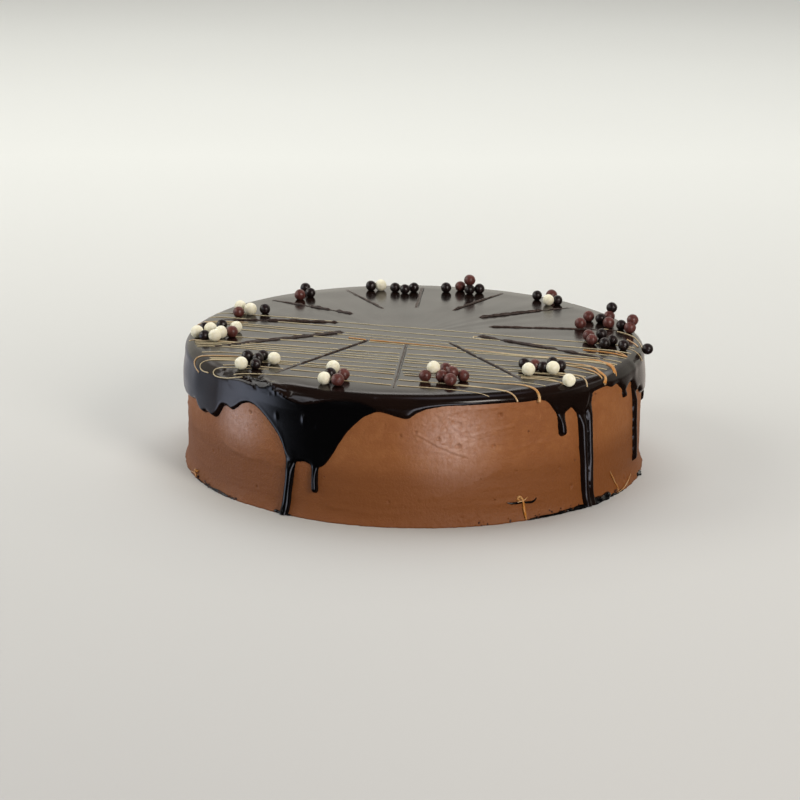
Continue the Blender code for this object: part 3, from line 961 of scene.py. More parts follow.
def eased(points, step):
    """Plan points in mm made a smooth, evenly spaced line in metres."""
    line = [Vector((x, y, 0)) * MM for x, y in points]
    made = []
    for at in range(len(line) - 1):
        before, start, end, after = (line[min(max(at + n, 0), len(line) - 1)] for n in (-1, 0, 1, 2))
        count = max(1, round((end - start).length / step))
        made += [curved(before, start, end, after, part / count) for part in range(count)]
    return made + [line[-1]]


# %% [markdown]
# The rows run right across the front. Each is a straight line with its own slope, cut off where it meets
# the rim, which takes the formula for a line and a circle. Noise makes it sway and swell a little, and it
# gets thicker towards both sides, where the hand slowed down to turn.

# %% Pipe the rows
ROWS = (  # distance along Y at the middle in mm, slope, width in mm and amber share
    (10.6, -0.29, 0.42, 0), (-0.6, -0.30, 0.46, 0), (-11, -0.30, 0.38, 0), (-16.6, -0.32, 0.42, 0.05),
    (-25.6, -0.32, 0.52, 0), (-32.4, -0.22, 0.50, 0.05), (-43.2, -0.22, 0.50, 0.05),
    (-49.9, -0.26, 0.38, 0), (-55, -0.28, 0.48, 0), (-59.2, -0.28, 0.48, 0.05), (-66.5, -0.25, 0.38, 0),
    (-73.4, -0.22, 0.50, 0.05), (-79, -0.26, 0.38, 0), (-92.6, -0.30, 0.52, 0.1),
)
ROW_STEP = 1.1 * MM
ROW_REACH = COAT_FLAT + 1 * MM
ROW_SWAY, ROW_SWAY_LENGTH = 0.7 * MM, 42 * MM
ROW_SWELL, ROW_SWELL_LENGTH = 0.3, 12 * MM
ROW_SIDES = (20 * MM, 100 * MM)  # from the middle, where a row starts to thicken and where it is thickest
ROW_THICKER, ROW_AMBER = 0.25, 0.3

threads = []
for index, (middle, slope, width, amber) in enumerate(ROWS):
    a, b, c = 1 + slope**2, 2 * middle * MM * slope, (middle * MM) ** 2 - ROW_REACH**2
    half = math.sqrt(b**2 - 4 * a * c) / (2 * a)
    low, high = -b / (2 * a) - half, -b / (2 * a) + half
    count = round((high - low) / ROW_STEP)
    points, widths, ambers = [], [], []
    for step in range(count + 1):
        x = low + (high - low) * step / count
        sway = ROW_SWAY * noise.noise(Vector((x / ROW_SWAY_LENGTH, index * 3.7, 0)))
        swell = 1 + ROW_SWELL * noise.noise(Vector((x / ROW_SWELL_LENGTH, index * 5.1, 4)))
        side = smoothstep(*ROW_SIDES, abs(x))
        points.append(Vector((x, middle * MM + slope * x + sway, 0)))
        widths.append(width * MM * swell * (1 + ROW_THICKER * side))
        ambers.append(min(1, max(0, amber + ROW_AMBER * side * (swell - 0.8))))
    threads.append(thread(f"row_{index}", points, widths, ambers))
print(len(threads), "rows piped")

# %% Pipe the thick stretches, the turns and the falls over the shoulder
STRANDS = (  # width and amber share at the start, then at the end, then plan points in mm
    (0.9, 0.9, 0.7, 0.8, (-34, -11), (-22.9, -15.7), (-10.9, -19.3), (2.5, -23.4)),
    (0.7, 0.8, 0.5, 0.2, (2.5, -23.4), (9.2, -25.2), (28.4, -32.6), (58.8, -43.5)),
    (0.5, 0.2, 1.5, 1, (58.8, -43.5), (75.2, -46.6), (89.7, -50.1), (96.5, -58.3), (98.9, -65.5)),
    (0.6, 0.4, 2.2, 1, (74.6, -55.5), (86.4, -61.9), (90.7, -69.8), (93.9, -72.9), (94.4, -77)),
    (0.5, 0.3, 1.2, 0.9, (74.3, -60.3), (86, -68.1), (89.7, -72.2), (92.1, -74.9)),
    (1, 0.9, 0.8, 0.9, (89.7, -51.1), (96, -54.6), (98.8, -61.2), (100.6, -66)),
    (0.52, 0.1, 0.6, 0.3, (-102, -53.5), (-60, -65.8), (-7.1, -80.9), (8.9, -85.6), (24.8, -91.4),
     (40.5, -95.1)),
    (0.6, 0.3, 1.9, 0.9, (40.5, -95.1), (50.8, -96.2), (57.2, -100), (60.4, -104.6), (61.4, -107.2)),
    (0.45, 0.1, 0.9, 0.5, (16.7, -99.1), (28.5, -101.5), (40.2, -103.9), (46.5, -107.3), (50, -111)),
    (0.52, 0.1, 0.45, 0.2, (-88.5, -77.3), (-73.3, -81.8), (-40, -91.4), (-6.9, -101.1), (12.7, -105.1),
     (28.3, -108.8), (35.4, -111.7)),
    (0.45, 0.1, 0.7, 0.4, (44.1, -82.2), (61.6, -84.4), (70.1, -89.3), (71.7, -90.9)),
    (0.45, 0.1, 0.8, 0.4, (62, -75), (78.1, -77), (82.7, -81), (84.8, -85.8)),
    (0.7, 0.8, 0.9, 0.9, (84.8, -30.2), (96.7, -34.6), (106.3, -39.7)),
    (0.5, 0.6, 0.7, 0.9, (101.1, -31.8), (104.2, -34.9), (106.3, -39.7)),
    (0.7, 0.6, 0.9, 0.8, (109.2, -6.6), (110.7, -9.6), (114.2, -17.8)),
    (0.5, 0.2, 0.5, 0.3, (98.8, 13.8), (103.8, 10.8), (112.6, 2.5), (116.1, -8.1), (118.1, -17.5)),
    (0.5, 0.2, 0.5, 0.3, (104.4, -22.9), (108.4, -24.9), (113.3, -28.5), (118, -31)),
    (0.6, 0.2, 0.5, 0.2, (40, -7.9), (33.5, -5.5), (30.3, -5.9), (30.2, -9), (33.2, -11), (37.4, -11.6)),
    (0.8, 0.5, 0.9, 0.6, (-80, -53.4), (-89.6, -50.8), (-96.8, -48.8), (-104, -46.7), (-109.3, -44.4),
     (-112.8, -45), (-113.8, -49), (-112.6, -54.6)),
    (0.5, 0.2, 0.6, 0.2, (-84.3, -59.6), (-95.4, -56.2), (-103.5, -53.2), (-107.9, -52.2), (-109.6, -54.2),
     (-108.6, -58), (-105, -63)),
    (0.5, 0.1, 0.55, 0.1, (-71, -74.5), (-84.1, -71.3), (-96.2, -66.3), (-99.9, -65.6), (-101.2, -67.6),
     (-99, -71.6), (-92.6, -77.4), (-84, -82)),
    (0.7, 0.6, 0.5, 0.3, (-117, 20.6), (-110.3, 20.9), (-99.6, 20.2), (-88, 18.6)),
    (0.6, 0.4, 0.45, 0.2, (-116.6, -13), (-106.6, -18.6), (-95.7, -22.9), (-84, -26.5)),
)
STRAND_STEP = 1.4 * MM
STRAND_SWELL = 0.18
for index, (first, first_amber, last, last_amber, *points) in enumerate(STRANDS):
    line = eased(points, STRAND_STEP)
    widths, ambers = [], []
    for at in range(len(line)):
        part = at / (len(line) - 1)
        swell = 1 + STRAND_SWELL * noise.noise(Vector((at / 6, index * 2.3, 8)))
        widths.append((first + (last - first) * part**1.5) * MM * swell)
        ambers.append(first_amber + (last_amber - first_amber) * part)
    threads.append(thread(f"strand_{index}", line, widths, ambers))
drizzle = joined(threads, "caramel_drizzle")
bpy.ops.object.shade_smooth()
print("caramel drizzle:", len(drizzle.data.polygons), "faces")

# %% [markdown]
# ## Chocolate pearls
#
# The pearls are small balls of puffed biscuit rolled in chocolate: ivory, milk and dark. Rolling leaves them
# not quite round, with a faint pebbled skin. One pearl is modelled per kind from an icosphere; every other
# pearl is a copy with its own mesh, turned another way and a little larger or smaller. Each kind is joined
# into one piece.

# %% Where the pearls lie
PEARL_RADIUS = {"ivory": 3.25 * MM, "milk": 3.05 * MM, "dark": 2.85 * MM}
PEARL_SPREAD = 0.04
PEARL_SINK = 0.35 * MM
PEARL_PLACE = {"ivory": 15.5, "milk": 12.4, "dark": 12.4}  # where each kind reads its noise
PEARL_LUMPS = (0.035, 0.014, 0.006)  # slow unevenness, pebbles and fine grain, as shares of the radius
CLUSTERS = (  # kind, x, y and lift off the coat in mm, one cluster to a portion
    (("milk", 5, -92, 0), ("milk", 13, -93, 0), ("milk", 15, -79, 0), ("milk", 17, -99, 0),
     ("milk", 23.3, -91, 0), ("ivory", 9, -90, 3.2), ("milk", 18, -92.2, 1.9)),
    (("dark", 53.5, -67, 0), ("milk", 58.5, -70.5, 0), ("ivory", 55, -79.5, 0), ("dark", 62.5, -73, 0),
     ("dark", 67.5, -63.5, 0), ("dark", 71, -70, 0), ("ivory", 67, -76, 0), ("ivory", 73.5, -90, 0)),
    (("milk", 89, -11, 0), ("milk", 90, -19.5, 0), ("dark", 96, -7, 0), ("dark", 96, -25.5, 0),
     ("dark", 100.5, -19, 0), ("dark", 105.5, -27.5, 0)),
    (("milk", 86.5, 15, 0), ("milk", 92, 30.5, 0), ("dark", 98, 26.5, 0), ("milk", 103, 32, 0),
     ("dark", 104.4, 34, 4.6), ("milk", 101.5, 17, 0), ("dark", 108, 14.5, 0), ("milk", 112, 9, 0),
     ("milk", 113.3, 12, 3.8)),
    (("dark", 67, 78, 0), ("ivory", 72.5, 66, 0), ("dark", 77.5, 67, 0), ("milk", 75, 79, 0)),
    (("dark", 17, 94, 0), ("milk", 25, 97, 0), ("milk", 30, 92, 4.6), ("dark", 30, 90, 0),
     ("dark", 35.5, 92, 0)),
    (("dark", -25, 96, 0), ("ivory", -19.5, 96.5, 0), ("dark", -11.5, 93, 0), ("dark", -6, 89.5, 0),
     ("dark", -1, 93.5, 0)),
    (("dark", -61.5, 92, 0), ("milk", -63.5, 72, 0), ("dark", -58, 78, 0)),
    (("ivory", -94, 43, 0), ("milk", -94, 31, 0), ("ivory", -88, 36.5, 0), ("dark", -80.5, 38.5, 0)),
    (("ivory", -112, -10.5, 0), ("dark", -109, -1.5, 0), ("dark", -107.5, -17.5, 0),
     ("ivory", -105.5, -6, 0), ("ivory", -102, -20.5, 0), ("ivory", -99.5, -14, 0),
     ("dark", -100.5, 4, 0), ("milk", -94, -12, 0), ("ivory", -92.5, -2.5, 0)),
    (("ivory", -84.5, -72, 0), ("dark", -82.5, -59, 0), ("dark", -77.5, -73, 0), ("dark", -77, -63, 0),
     ("dark", -75, -57, 0), ("ivory", -69, -64, 0)),
    (("ivory", -39.5, -80, 0), ("ivory", -43, -98.5, 0), ("dark", -40.5, -89, 0), ("milk", -36.5, -101, 0),
     ("milk", -34, -91, 0)),
)
STRAY_PEARL = ("dark", Vector((118.2, -22.5, 64.0)) * MM)


# %% Model one pearl of each kind and copy it
def model_pearl(kind):
    """A ball a hair off round, with the low pebbles that rolling leaves."""
    start_clean()
    bpy.ops.mesh.primitive_ico_sphere_add(subdivisions=4, radius=PEARL_RADIUS[kind], location=(0, 0, 0))
    made = bpy.context.object
    place = PEARL_PLACE[kind]

    def place_pebble(point):
        out = point.normalized()
        slow = noise.noise(out * 1.1 + Vector((place, 0, 0)))
        pebble = noise.noise(out * 4.2 + Vector((0, place, 0)))
        fine = noise.noise(out * 9 + Vector((0, 0, place)))
        lumps = (share * found for share, found in zip(PEARL_LUMPS, (slow, pebble, fine)))
        return point * (1 + sum(lumps))

    move_points(made, place_pebble)
    return made


draw = random.Random(12)
pearls = {}
for kind in PEARL_RADIUS:
    first = model_pearl(kind)
    places = []
    for cluster in CLUSTERS:
        for found, x, y, lift in cluster:
            if found == kind:
                size = draw.uniform(1 - PEARL_SPREAD, 1 + PEARL_SPREAD)
                centre = on_coat(x * MM, y * MM, PEARL_RADIUS[kind] * size - PEARL_SINK)
                places.append((size, centre + Vector((0, 0, lift * MM))))
    if STRAY_PEARL[0] == kind:
        places.append((1, STRAY_PEARL[1]))
    copies = []
    for size, centre in places:
        copy = first.copy()
        copy.data = first.data.copy()
        bpy.context.scene.collection.objects.link(copy)
        copy.rotation_euler = [draw.uniform(0, 6.28) for _ in range(3)]
        copy.scale = [size] * 3
        copy.location = centre
        copies.append(copy)
    bpy.data.objects.remove(first)
    select_only(*copies)
    bpy.ops.object.transform_apply(location=True, rotation=True, scale=True)
    pearls[kind] = joined(copies, f"pearls_{kind}")
    bpy.ops.object.shade_smooth()
    print(f"pearls_{kind}:", len(places), "pearls")

# %% [markdown]
# ## What fell at the foot
#
# Where the long runs reach the board, a little ganache spread along the foot of the cake and set in a
# ragged, glossy line. It is a chain of small blobs remeshed into one skin, the way drops flow together.
# A few dark crumbs and some fine caramel threads stick to the lowest cream.

# %% Ganache along the foot
FOOT_RUNS = (  # from angle, to angle, size in mm, blobs
    (27.5, 44, 0.7, 70), (36, 46, 1.1, 26), (42, 51, 1.5, 40), (47.5, 53.5, 2.2, 30),
    (52, 61, 0.9, 26), (-34, -30, 1, 8), (73, 76, 1.6, 6), (186, 191, 1.2, 14),
    (236, 241, 1.1, 14), (110, 114, 1.2, 12), (-66, -54, 0.6, 44), (-56, -47, 0.9, 30),
)
FOOT_SKIN = 0.3 * MM


def on_the_board(point):
    """Nothing goes below the board that the cake stands on."""
    return Vector((point.x, point.y, max(point.z, 0)))


draw = random.Random(31)
blobs = []
for start, end, size, count in FOOT_RUNS:
    for at in range(count):
        angle = start + (end - start) * (at + draw.uniform(0.1, 0.9)) / count
        radius = size * draw.uniform(0.5, 1.1) * MM
        height = radius * draw.uniform(0.1, 0.8)
        reach = BODY_RADIUS + wall_waves(angle, height) + radius * draw.uniform(-0.3, 0.2)
        start_clean()
        bpy.ops.mesh.primitive_ico_sphere_add(
            subdivisions=2, radius=radius, location=around(angle, reach, height),
            scale=(draw.uniform(1.3, 2.4), draw.uniform(0.7, 1.0), draw.uniform(0.4, 0.8)),
            rotation=(0, 0, math.radians(angle)),
        )
        bpy.ops.object.transform_apply(location=True, rotation=True, scale=True)
        blobs.append(bpy.context.object)
foot = joined(blobs, "ganache_foot")
modified(foot, "REMESH", mode="VOXEL", voxel_size=FOOT_SKIN)
modified(foot, "SMOOTH", factor=0.5, iterations=6)
move_points(foot, on_the_board)
bpy.ops.object.shade_smooth()
print("ganache along the foot:", len(foot.data.polygons), "faces")

# %% Crumbs
CRUMB_RUNS = (  # from angle, to angle, highest in mm, count
    (-66, -46, 1.4, 16), (27, 60, 2.6, 18), (8, 26, 1.4, 4), (95, 270, 1.5, 26),
)
draw = random.Random(47)
crumbs = []
for start, end, high, count in CRUMB_RUNS:
    for _ in range(count):
        angle = draw.uniform(start, end)
        size = draw.uniform(0.3, 0.75) * MM
        height = size * 0.5 + draw.uniform(0, high) ** 2 / high * MM
        reach = BODY_RADIUS + wall_waves(angle, height) + size * 0.25
        start_clean()
        bpy.ops.mesh.primitive_cube_add(
            size=size, location=around(angle, reach, height),
            scale=(draw.uniform(0.8, 2.2), draw.uniform(0.6, 1.1), draw.uniform(0.5, 1.1)),
            rotation=[draw.uniform(0, 3.1) for _ in range(3)],
        )
        bpy.ops.object.transform_apply(location=True, rotation=True, scale=True)
        crumb = bpy.context.object
        bpy.ops.object.mode_set(mode="EDIT")
        bpy.ops.mesh.select_all(action="SELECT")
        bpy.ops.mesh.subdivide(number_cuts=2, smoothness=0.7, fractal=0.9, seed=draw.randint(1, 999))
        bpy.ops.object.mode_set(mode="OBJECT")
        crumbs.append(crumb)
crumbs = joined(crumbs, "dark_crumbs")
move_points(crumbs, on_the_board)
bpy.ops.object.shade_smooth_by_angle(angle=math.radians(35))
print("crumbs:", len(crumbs.data.polygons), "faces")

# %% Caramel threads on the cream
WALL_THREADS = (  # width in mm, amber share, then angle, height and distance off the cream in mm
    (1.2, 1, (27, 0.6, 0.3), (26.9, 3, 0.4), (26.6, 6.5, 0.5), (26.4, 9.5, 0.5), (26, 11.3, 0.3),
     (25.4, 12.1, 0.3), (25, 11.2, 0.3), (25.6, 10.3, 0.4)),
    (0.6, 0.9, (24, 8.9, 0.2), (25.2, 9.6, 0.5), (26.6, 10.2, 0.7), (27.6, 11.5, 0.4)),
    (0.55, 0.9, (55.4, 12.8, 0.2), (56, 10.8, 0.3), (57, 8.4, 0.3), (58, 5.4, 0.3), (58.8, 2.8, 0.3),
     (58.6, 1.2, 0.3)),
    (0.5, 0.8, (57.8, 0.6, 0.6), (61, 1, 0.6), (64.5, 2.4, 0.4), (68, 4.4, 0.2)),
    (0.9, 1, (-66.6, 4.2, 0.3), (-67.2, 3.2, 0.7), (-68.2, 3.6, 0.8), (-68.8, 2.6, 0.6), (-67.8, 1.8, 0.7),
     (-66.9, 1.2, 0.5), (-67.6, 0.5, 0.5)),
    (0.45, 0.8, (-66, 1.8, 0.2), (-69.5, 1.4, 0.5), (-72, 0.6, 0.4)),
    (0.5, 0.8, (146, 9, 0.2), (148.5, 6, 0.3), (149, 2.5, 0.3), (151, 0.8, 0.4)),
    (0.5, 0.8, (214, 3, 0.2), (217, 5, 0.4), (220, 3, 0.3), (222, 0.8, 0.4)),
)
DARK_THREADS = (
    (1.1, 0, (22.2, 9.9, 0.1), (23.5, 9.3, 0.3), (24.8, 9.2, 0.3), (26.4, 9, 0.1), (27.8, 8.7, 0.3),
     (28.8, 8.6, 0.3), (29.6, 9.2, 0.3), (30.1, 10.2, 0.1)),
    (0.6, 0, (28, 0.8, 0.6), (31, 1.1, 0.7), (35, 0.9, 0.7), (39, 1.5, 0.7), (43, 1.2, 0.7)),
    (0.5, 0, (-62, 1.6, 0.4), (-58, 1, 0.7), (-54, 1.3, 0.6), (-50, 0.8, 0.5)),
)


THREAD_ENDS = 0.55
THREAD_SWELLS = (0.85, 1.0, 1.15)


def wall_thread(name, width, amber, *points):
    """A thread stuck to the cream wall, through (angle, height, distance off) points."""
    line, spline = bare_curve(name, "BEZIER", width * MM / 2)
    line.resolution_u = 6
    spline.bezier_points.add(len(points) - 1)
    for at, (angle, height, off) in enumerate(points):
        spot = spline.bezier_points[at]
        spot.co = around(angle, BODY_RADIUS + wall_waves(angle, height * MM) + off * MM, height * MM)
        spot.handle_left_type = spot.handle_right_type = "AUTO"
        spot.radius = THREAD_SWELLS[at % 3] * (THREAD_ENDS if at in (0, len(points) - 1) else 1)
    return as_mesh(lambda at, count: amber)


def stuck_threads(name, lines):
    """Threads of one kind, joined into one smooth piece."""
    made = [wall_thread(f"{name}_{at}", *line) for at, line in enumerate(lines)]
    made = joined(made, name)
    bpy.ops.object.shade_smooth()
    print(f"{name}:", len(made.data.polygons), "faces")
    return made


caramel_threads = stuck_threads("caramel_threads", WALL_THREADS)
ganache_threads = stuck_threads("ganache_threads", DARK_THREADS)

# %% [markdown]
# ## Materials
#
# Each material starts from what the real one is. Colours are sRGB hex values, turned to the linear values
# that the shader works in. `add_node` adds any node with its settings and links: a Map Range node takes a
# value from one range to another, and a Mix node blends two colours by a share. Patterns use object
# coordinates in metres, so `grain` works their scale out from a size in millimetres.


# %% Helpers for materials
RGBA = {"data_type": "RGBA"}  # makes a Mix node take colours: input 0 is the share, 6 and 7 the colours


def linear(code):
    """An sRGB hex colour such as "8A5434" as linear RGBA."""
    parts = [int(code[at : at + 2], 16) / 255 for at in (0, 2, 4)]
    return (*[p / 12.92 if p <= 0.04045 else ((p + 0.055) / 1.055) ** 2.4 for p in parts], 1)


def connect(tree, made, inputs):
    """Sets a node's inputs, by name or number, each to a value, an output, or a node's first output in use."""
    for name, value in inputs.items():
        if isinstance(value, bpy.types.Node):
            value = next(output for output in value.outputs if output.enabled)
        if isinstance(value, bpy.types.NodeSocket):
            tree.links.new(value, made.inputs[name])
        else:
            made.inputs[name].default_value = value


def add_node(tree, kind, inputs, **settings):
    """Adds a node of this kind with its settings, and its inputs as connect takes them."""
    made = tree.nodes.new("ShaderNode" + kind)
    for name, value in settings.items():
        setattr(made, name, value)
    connect(tree, made, inputs)
    return made


def grain(tree, where, size_mm, detail=3, stretch=(1, 1, 1), roughness=0.5):
    """A pattern of blots about this many millimetres wide: longer where stretch is below 1, thinner above."""
    scale = [share / (size_mm * MM) for share in stretch]
    turned = add_node(tree, "Mapping", {"Vector": where, "Scale": scale})
    inputs = {"Vector": turned, "Scale": 1.0, "Detail": detail, "Roughness": roughness}
    return add_node(tree, "TexNoise", inputs)


def new_material(name, roughness, ior):
    """A material with its Principled shader and an object coordinate to draw patterns on."""
    made = bpy.data.materials.new(name)
    made.use_nodes = True
    tree = made.node_tree
    shader = tree.nodes["Principled BSDF"]
    connect(tree, shader, {"Roughness": roughness, "IOR": ior})
    return made, tree, shader, add_node(tree, "TexCoord", {}).outputs["Object"]


def wear(piece, material):
    piece.data.materials.clear()
    piece.data.materials.append(material)
    print(f"{piece.name} wears {material.name}")


# %% [markdown]
# ### Chocolate buttercream
#
# Whipped butter and chocolate, smoothed with a metal palette knife. It is a milk brown; its lower half is
# painted deeper and warmer, as painted shade with a painted warm reflection from below. Pigment and air are
# not quite even, so the brown drifts by a few percent, with small pits and specks; the pits are painted darker
# inside, as painted shade. Where the knife pressed hard it brought the fat to the surface: the cream is
# smoother there and has a satin sheen, and its colour there is painted paler and greyer in fine streaks, as a
# painted sheen.

# %% Buttercream: its colour
PIT_SPACING = 8 * MM
cream_material, tree, shader, where = new_material("chocolate_buttercream", 0.38, 1.50)
cloud = add_node(tree, "MapRange", {0: grain(tree, where, 38, detail=2), 1: 0.35, 2: 0.68})
tone = add_node(tree, "Mix", {0: cloud, 6: linear("8A5020"), 7: linear("945A27")}, **RGBA)
mottle = grain(tree, where, 5, detail=4, roughness=0.6)
mottle = add_node(tree, "MapRange", {0: mottle, 1: 0.45, 2: 0.75, 4: 0.35})
tone = add_node(tree, "Mix", {0: mottle, 6: tone, 7: linear("AC703C")}, **RGBA)
cells = add_node(tree, "Mapping", {"Vector": where, "Scale": [1 / PIT_SPACING] * 3})
cell = add_node(tree, "TexVoronoi", {"Vector": cells, "Scale": 1.0})
pit_and_painted_shade = add_node(tree, "MapRange", {0: cell.outputs["Distance"], 1: 0.035, 2: 0.085, 3: 1.0, 4: 0.0})
luck = add_node(tree, "SeparateXYZ", {0: cell.outputs["Color"]})  # each cell has its own random colour
chosen = add_node(tree, "MapRange", {0: luck.outputs["X"], 1: 0.62, 2: 0.67})
pit_and_painted_shade = add_node(tree, "Math", {0: pit_and_painted_shade, 1: chosen}, operation="MULTIPLY")
# Painted shade: the pits are painted darker inside. The same mask also sinks them in the bump.
tone = add_node(tree, "Mix", {0: pit_and_painted_shade, 6: tone, 7: linear("6E3C18")}, **RGBA)
height = add_node(tree, "SeparateXYZ", {0: where}).outputs["Z"]
# Painted shade and a painted warm reflection: below about 30 mm the wall is painted darker and warmer.
painted_low_shade = add_node(tree, "MapRange", {0: height, 1: 23 * MM, 2: 35 * MM, 3: 0.85, 4: 0.0})
tone = add_node(tree, "Mix", {0: painted_low_shade, 6: tone, 7: linear("78410A")}, **RGBA)
specks = add_node(tree, "MapRange", {0: grain(tree, where, 1.6, detail=2), 1: 0.68, 2: 0.78, 4: 0.5})
tone = add_node(tree, "Mix", {0: specks, 6: tone, 7: linear("6E3E1E")}, **RGBA)
polish_and_painted_sheen = add_node(tree, "Attribute", {}, attribute_name="polish_and_painted_sheen").outputs["Fac"]
# Painted sheen: where the knife polished, the colour is painted paler and greyer in fine streaks.
painted_sheen = add_node(tree, "MapRange", {0: polish_and_painted_sheen, 1: 0.05, 4: 0.74})
painted_sheen_streaks = grain(tree, where, 2.4, detail=5, roughness=0.7, stretch=(1, 1, 0.6))
painted_sheen_streaks = add_node(tree, "MapRange", {0: painted_sheen_streaks, 1: 0.36, 2: 0.62, 3: 0.45})
painted_sheen = add_node(tree, "Math", {0: painted_sheen, 1: painted_sheen_streaks}, operation="MULTIPLY")
tone = add_node(tree, "Mix", {0: painted_sheen, 6: tone, 7: linear("C29E8E")}, **RGBA)
connect(tree, shader, {"Base Color": tone, "Specular IOR Level": 0.5})

# %% Buttercream: its sheen and its relief
uneven = add_node(tree, "MapRange", {0: grain(tree, where, 14), 1: 0.3, 2: 0.7, 3: -0.05, 4: 0.05})
smoothed = add_node(tree, "MapRange", {0: polish_and_painted_sheen, 3: 0.62, 4: 0.24})
rough = add_node(tree, "Math", {0: smoothed, 1: uneven}, operation="ADD")
scratch = grain(tree, where, 7, detail=4, stretch=(0.6, 0.6, 4), roughness=0.6)
scratched = add_node(tree, "Bump", {"Height": scratch, "Distance": 0.10 * MM})
curdled = grain(tree, where, 1.3, detail=4, roughness=0.65)
curdled = add_node(tree, "Math", {0: curdled, 1: pit_and_painted_shade}, operation="SUBTRACT")
relief = add_node(tree, "Bump", {"Height": curdled, "Distance": 0.36 * MM, "Normal": scratched})
connect(tree, shader, {"Roughness": rough, "Normal": relief})
wear(cream, cream_material)

# %% [markdown]
# ### Ganache glaze
#
# Dark chocolate and cream, poured and set. It is nearly black with a trace of warm brown and dries with a
# smooth, wet gloss. The gloss is a little uneven where the surface set at different speeds, and long, very
# low swells bend its reflections. The burrs along the marks are torn, not poured, so they are dull and rough.

# %% Ganache
ganache_material, tree, shader, where = new_material("dark_ganache_glaze", 0.12, 1.34)
cloud = add_node(tree, "MapRange", {0: grain(tree, where, 30, detail=2), 1: 0.3, 2: 0.7})
tone = add_node(tree, "Mix", {0: cloud, 6: linear("120B09"), 7: linear("1B110D")}, **RGBA)
second = add_node(tree, "Attribute", {}, attribute_name="second_pour_unshaded").outputs["Fac"]
# Painted shade: below the second pour's lip, the first pour is painted near-black.
tone = add_node(tree, "Mix", {0: second, 6: linear("060607"), 7: tone}, **RGBA)
gloss = add_node(tree, "MapRange", {0: grain(tree, where, 22), 1: 0.3, 2: 0.7, 3: 0.13, 4: 0.21})
swells = add_node(tree, "Bump", {"Height": grain(tree, where, 45, detail=1), "Distance": 0.5 * MM})
fine = {"Height": grain(tree, where, 2.5, detail=2), "Distance": 0.012 * MM, "Normal": swells}
connect(tree, shader, {"Base Color": tone, "Roughness": gloss, "Normal": add_node(tree, "Bump", fine)})
wear(coat, ganache_material)
wear(foot, ganache_material)
wear(ganache_threads, ganache_material)

# %% Torn ganache
torn_material, tree, shader, where = new_material("torn_ganache", 0.45, 1.45)
crumbled = add_node(tree, "MapRange", {0: grain(tree, where, 1.2), 1: 0.35, 2: 0.7})
tone = add_node(tree, "Mix", {0: crumbled, 6: linear("241813"), 7: linear("4A3A32")}, **RGBA)
relief = add_node(tree, "Bump", {"Height": grain(tree, where, 0.7), "Distance": 0.15 * MM})
connect(tree, shader, {"Base Color": tone, "Normal": relief})
coat.data.materials.append(torn_material)
for face in coat.data.polygons[skin_faces:]:
    face.material_index = 1

# %% [markdown]
# ### Caramel
#
# Sugar cooked to a clear amber. A fine thread of it over dark chocolate looks tan, because it is thin and
# catches the light; a thick one shows its own orange. The threads carry their thickness as an attribute,
# which picks between the two.

# %% Caramel
caramel_material, tree, shader, where = new_material("caramel", 0.28, 1.48)
amber = add_node(tree, "Attribute", {}, attribute_name="amber").outputs["Fac"]
tone = add_node(tree, "Mix", {0: amber, 6: linear("C3B998"), 7: linear("BA7826")}, **RGBA)
lighter = add_node(tree, "MapRange", {0: grain(tree, where, 4, detail=2), 1: 0.4, 2: 0.7, 4: 0.4})
tone = add_node(tree, "Mix", {0: lighter, 6: tone, 7: linear("CDBF98")}, **RGBA)
relief = add_node(tree, "Bump", {"Height": grain(tree, where, 1.5, detail=2), "Distance": 0.05 * MM})
connect(tree, shader, {"Base Color": tone, "Normal": relief})
wear(drizzle, caramel_material)
wear(caramel_threads, caramel_material)

# %% [markdown]
# ### Chocolate coats on the pearls
#
# Tempered chocolate tumbled onto crisp centres: a satin shell with a fine, pebbled skin. The milk pearls are
# a reddish brown and the dark ones almost black; the ivory ones are white chocolate with a cream tone. The
# crumbs are dark chocolate too, broken and so duller.


# %% Pearl coats
def chocolate(name, first, second, roughness):
    """Set chocolate of a colour that drifts between two."""
    made, tree, shader, where = new_material(name, roughness, 1.45)
    share = add_node(tree, "MapRange", {0: grain(tree, where, 1.8), 1: 0.35, 2: 0.7})
    tone = add_node(tree, "Mix", {0: share, 6: linear(first), 7: linear(second)}, **RGBA)
    relief = add_node(tree, "Bump", {"Height": grain(tree, where, 0.8), "Distance": 0.14 * MM})
    connect(tree, shader, {"Base Color": tone, "Normal": relief})
    return made


PEARL_COATS = {
    "ivory": ("white_chocolate", "EFEACB", "F8F5E2", 0.38),
    "milk": ("milk_chocolate", "4E2A25", "6B3C36", 0.34),
    "dark": ("dark_chocolate", "17110F", "26191A", 0.30),
}
for kind, values in PEARL_COATS.items():
    wear(pearls[kind], chocolate(*values))
wear(crumbs, chocolate("dark_chocolate_crumb", "33190F", "5A331F", 0.6))

# %% [markdown]
# ## Tie the pieces to the imported model
#
# Each piece rides on the one body. The coat and its toppings stand for the imported coat, and the cream body
# stands for the imported cream.

# %% Ride and replace
REPLACED = {"cream_body": "cream_cake", "ganache_coat": "glaze", "caramel_drizzle": "glaze",
            "pearls_ivory": "glaze", "pearls_milk": "glaze", "pearls_dark": "glaze"}
pieces = [cream, coat, drizzle, *pearls.values(), foot, crumbs, caramel_threads, ganache_threads]
for piece in pieces:
    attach(piece, "root")
    if piece.name in REPLACED:
        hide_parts(REPLACED[piece.name])
print("pieces:", ", ".join(piece.name for piece in pieces))
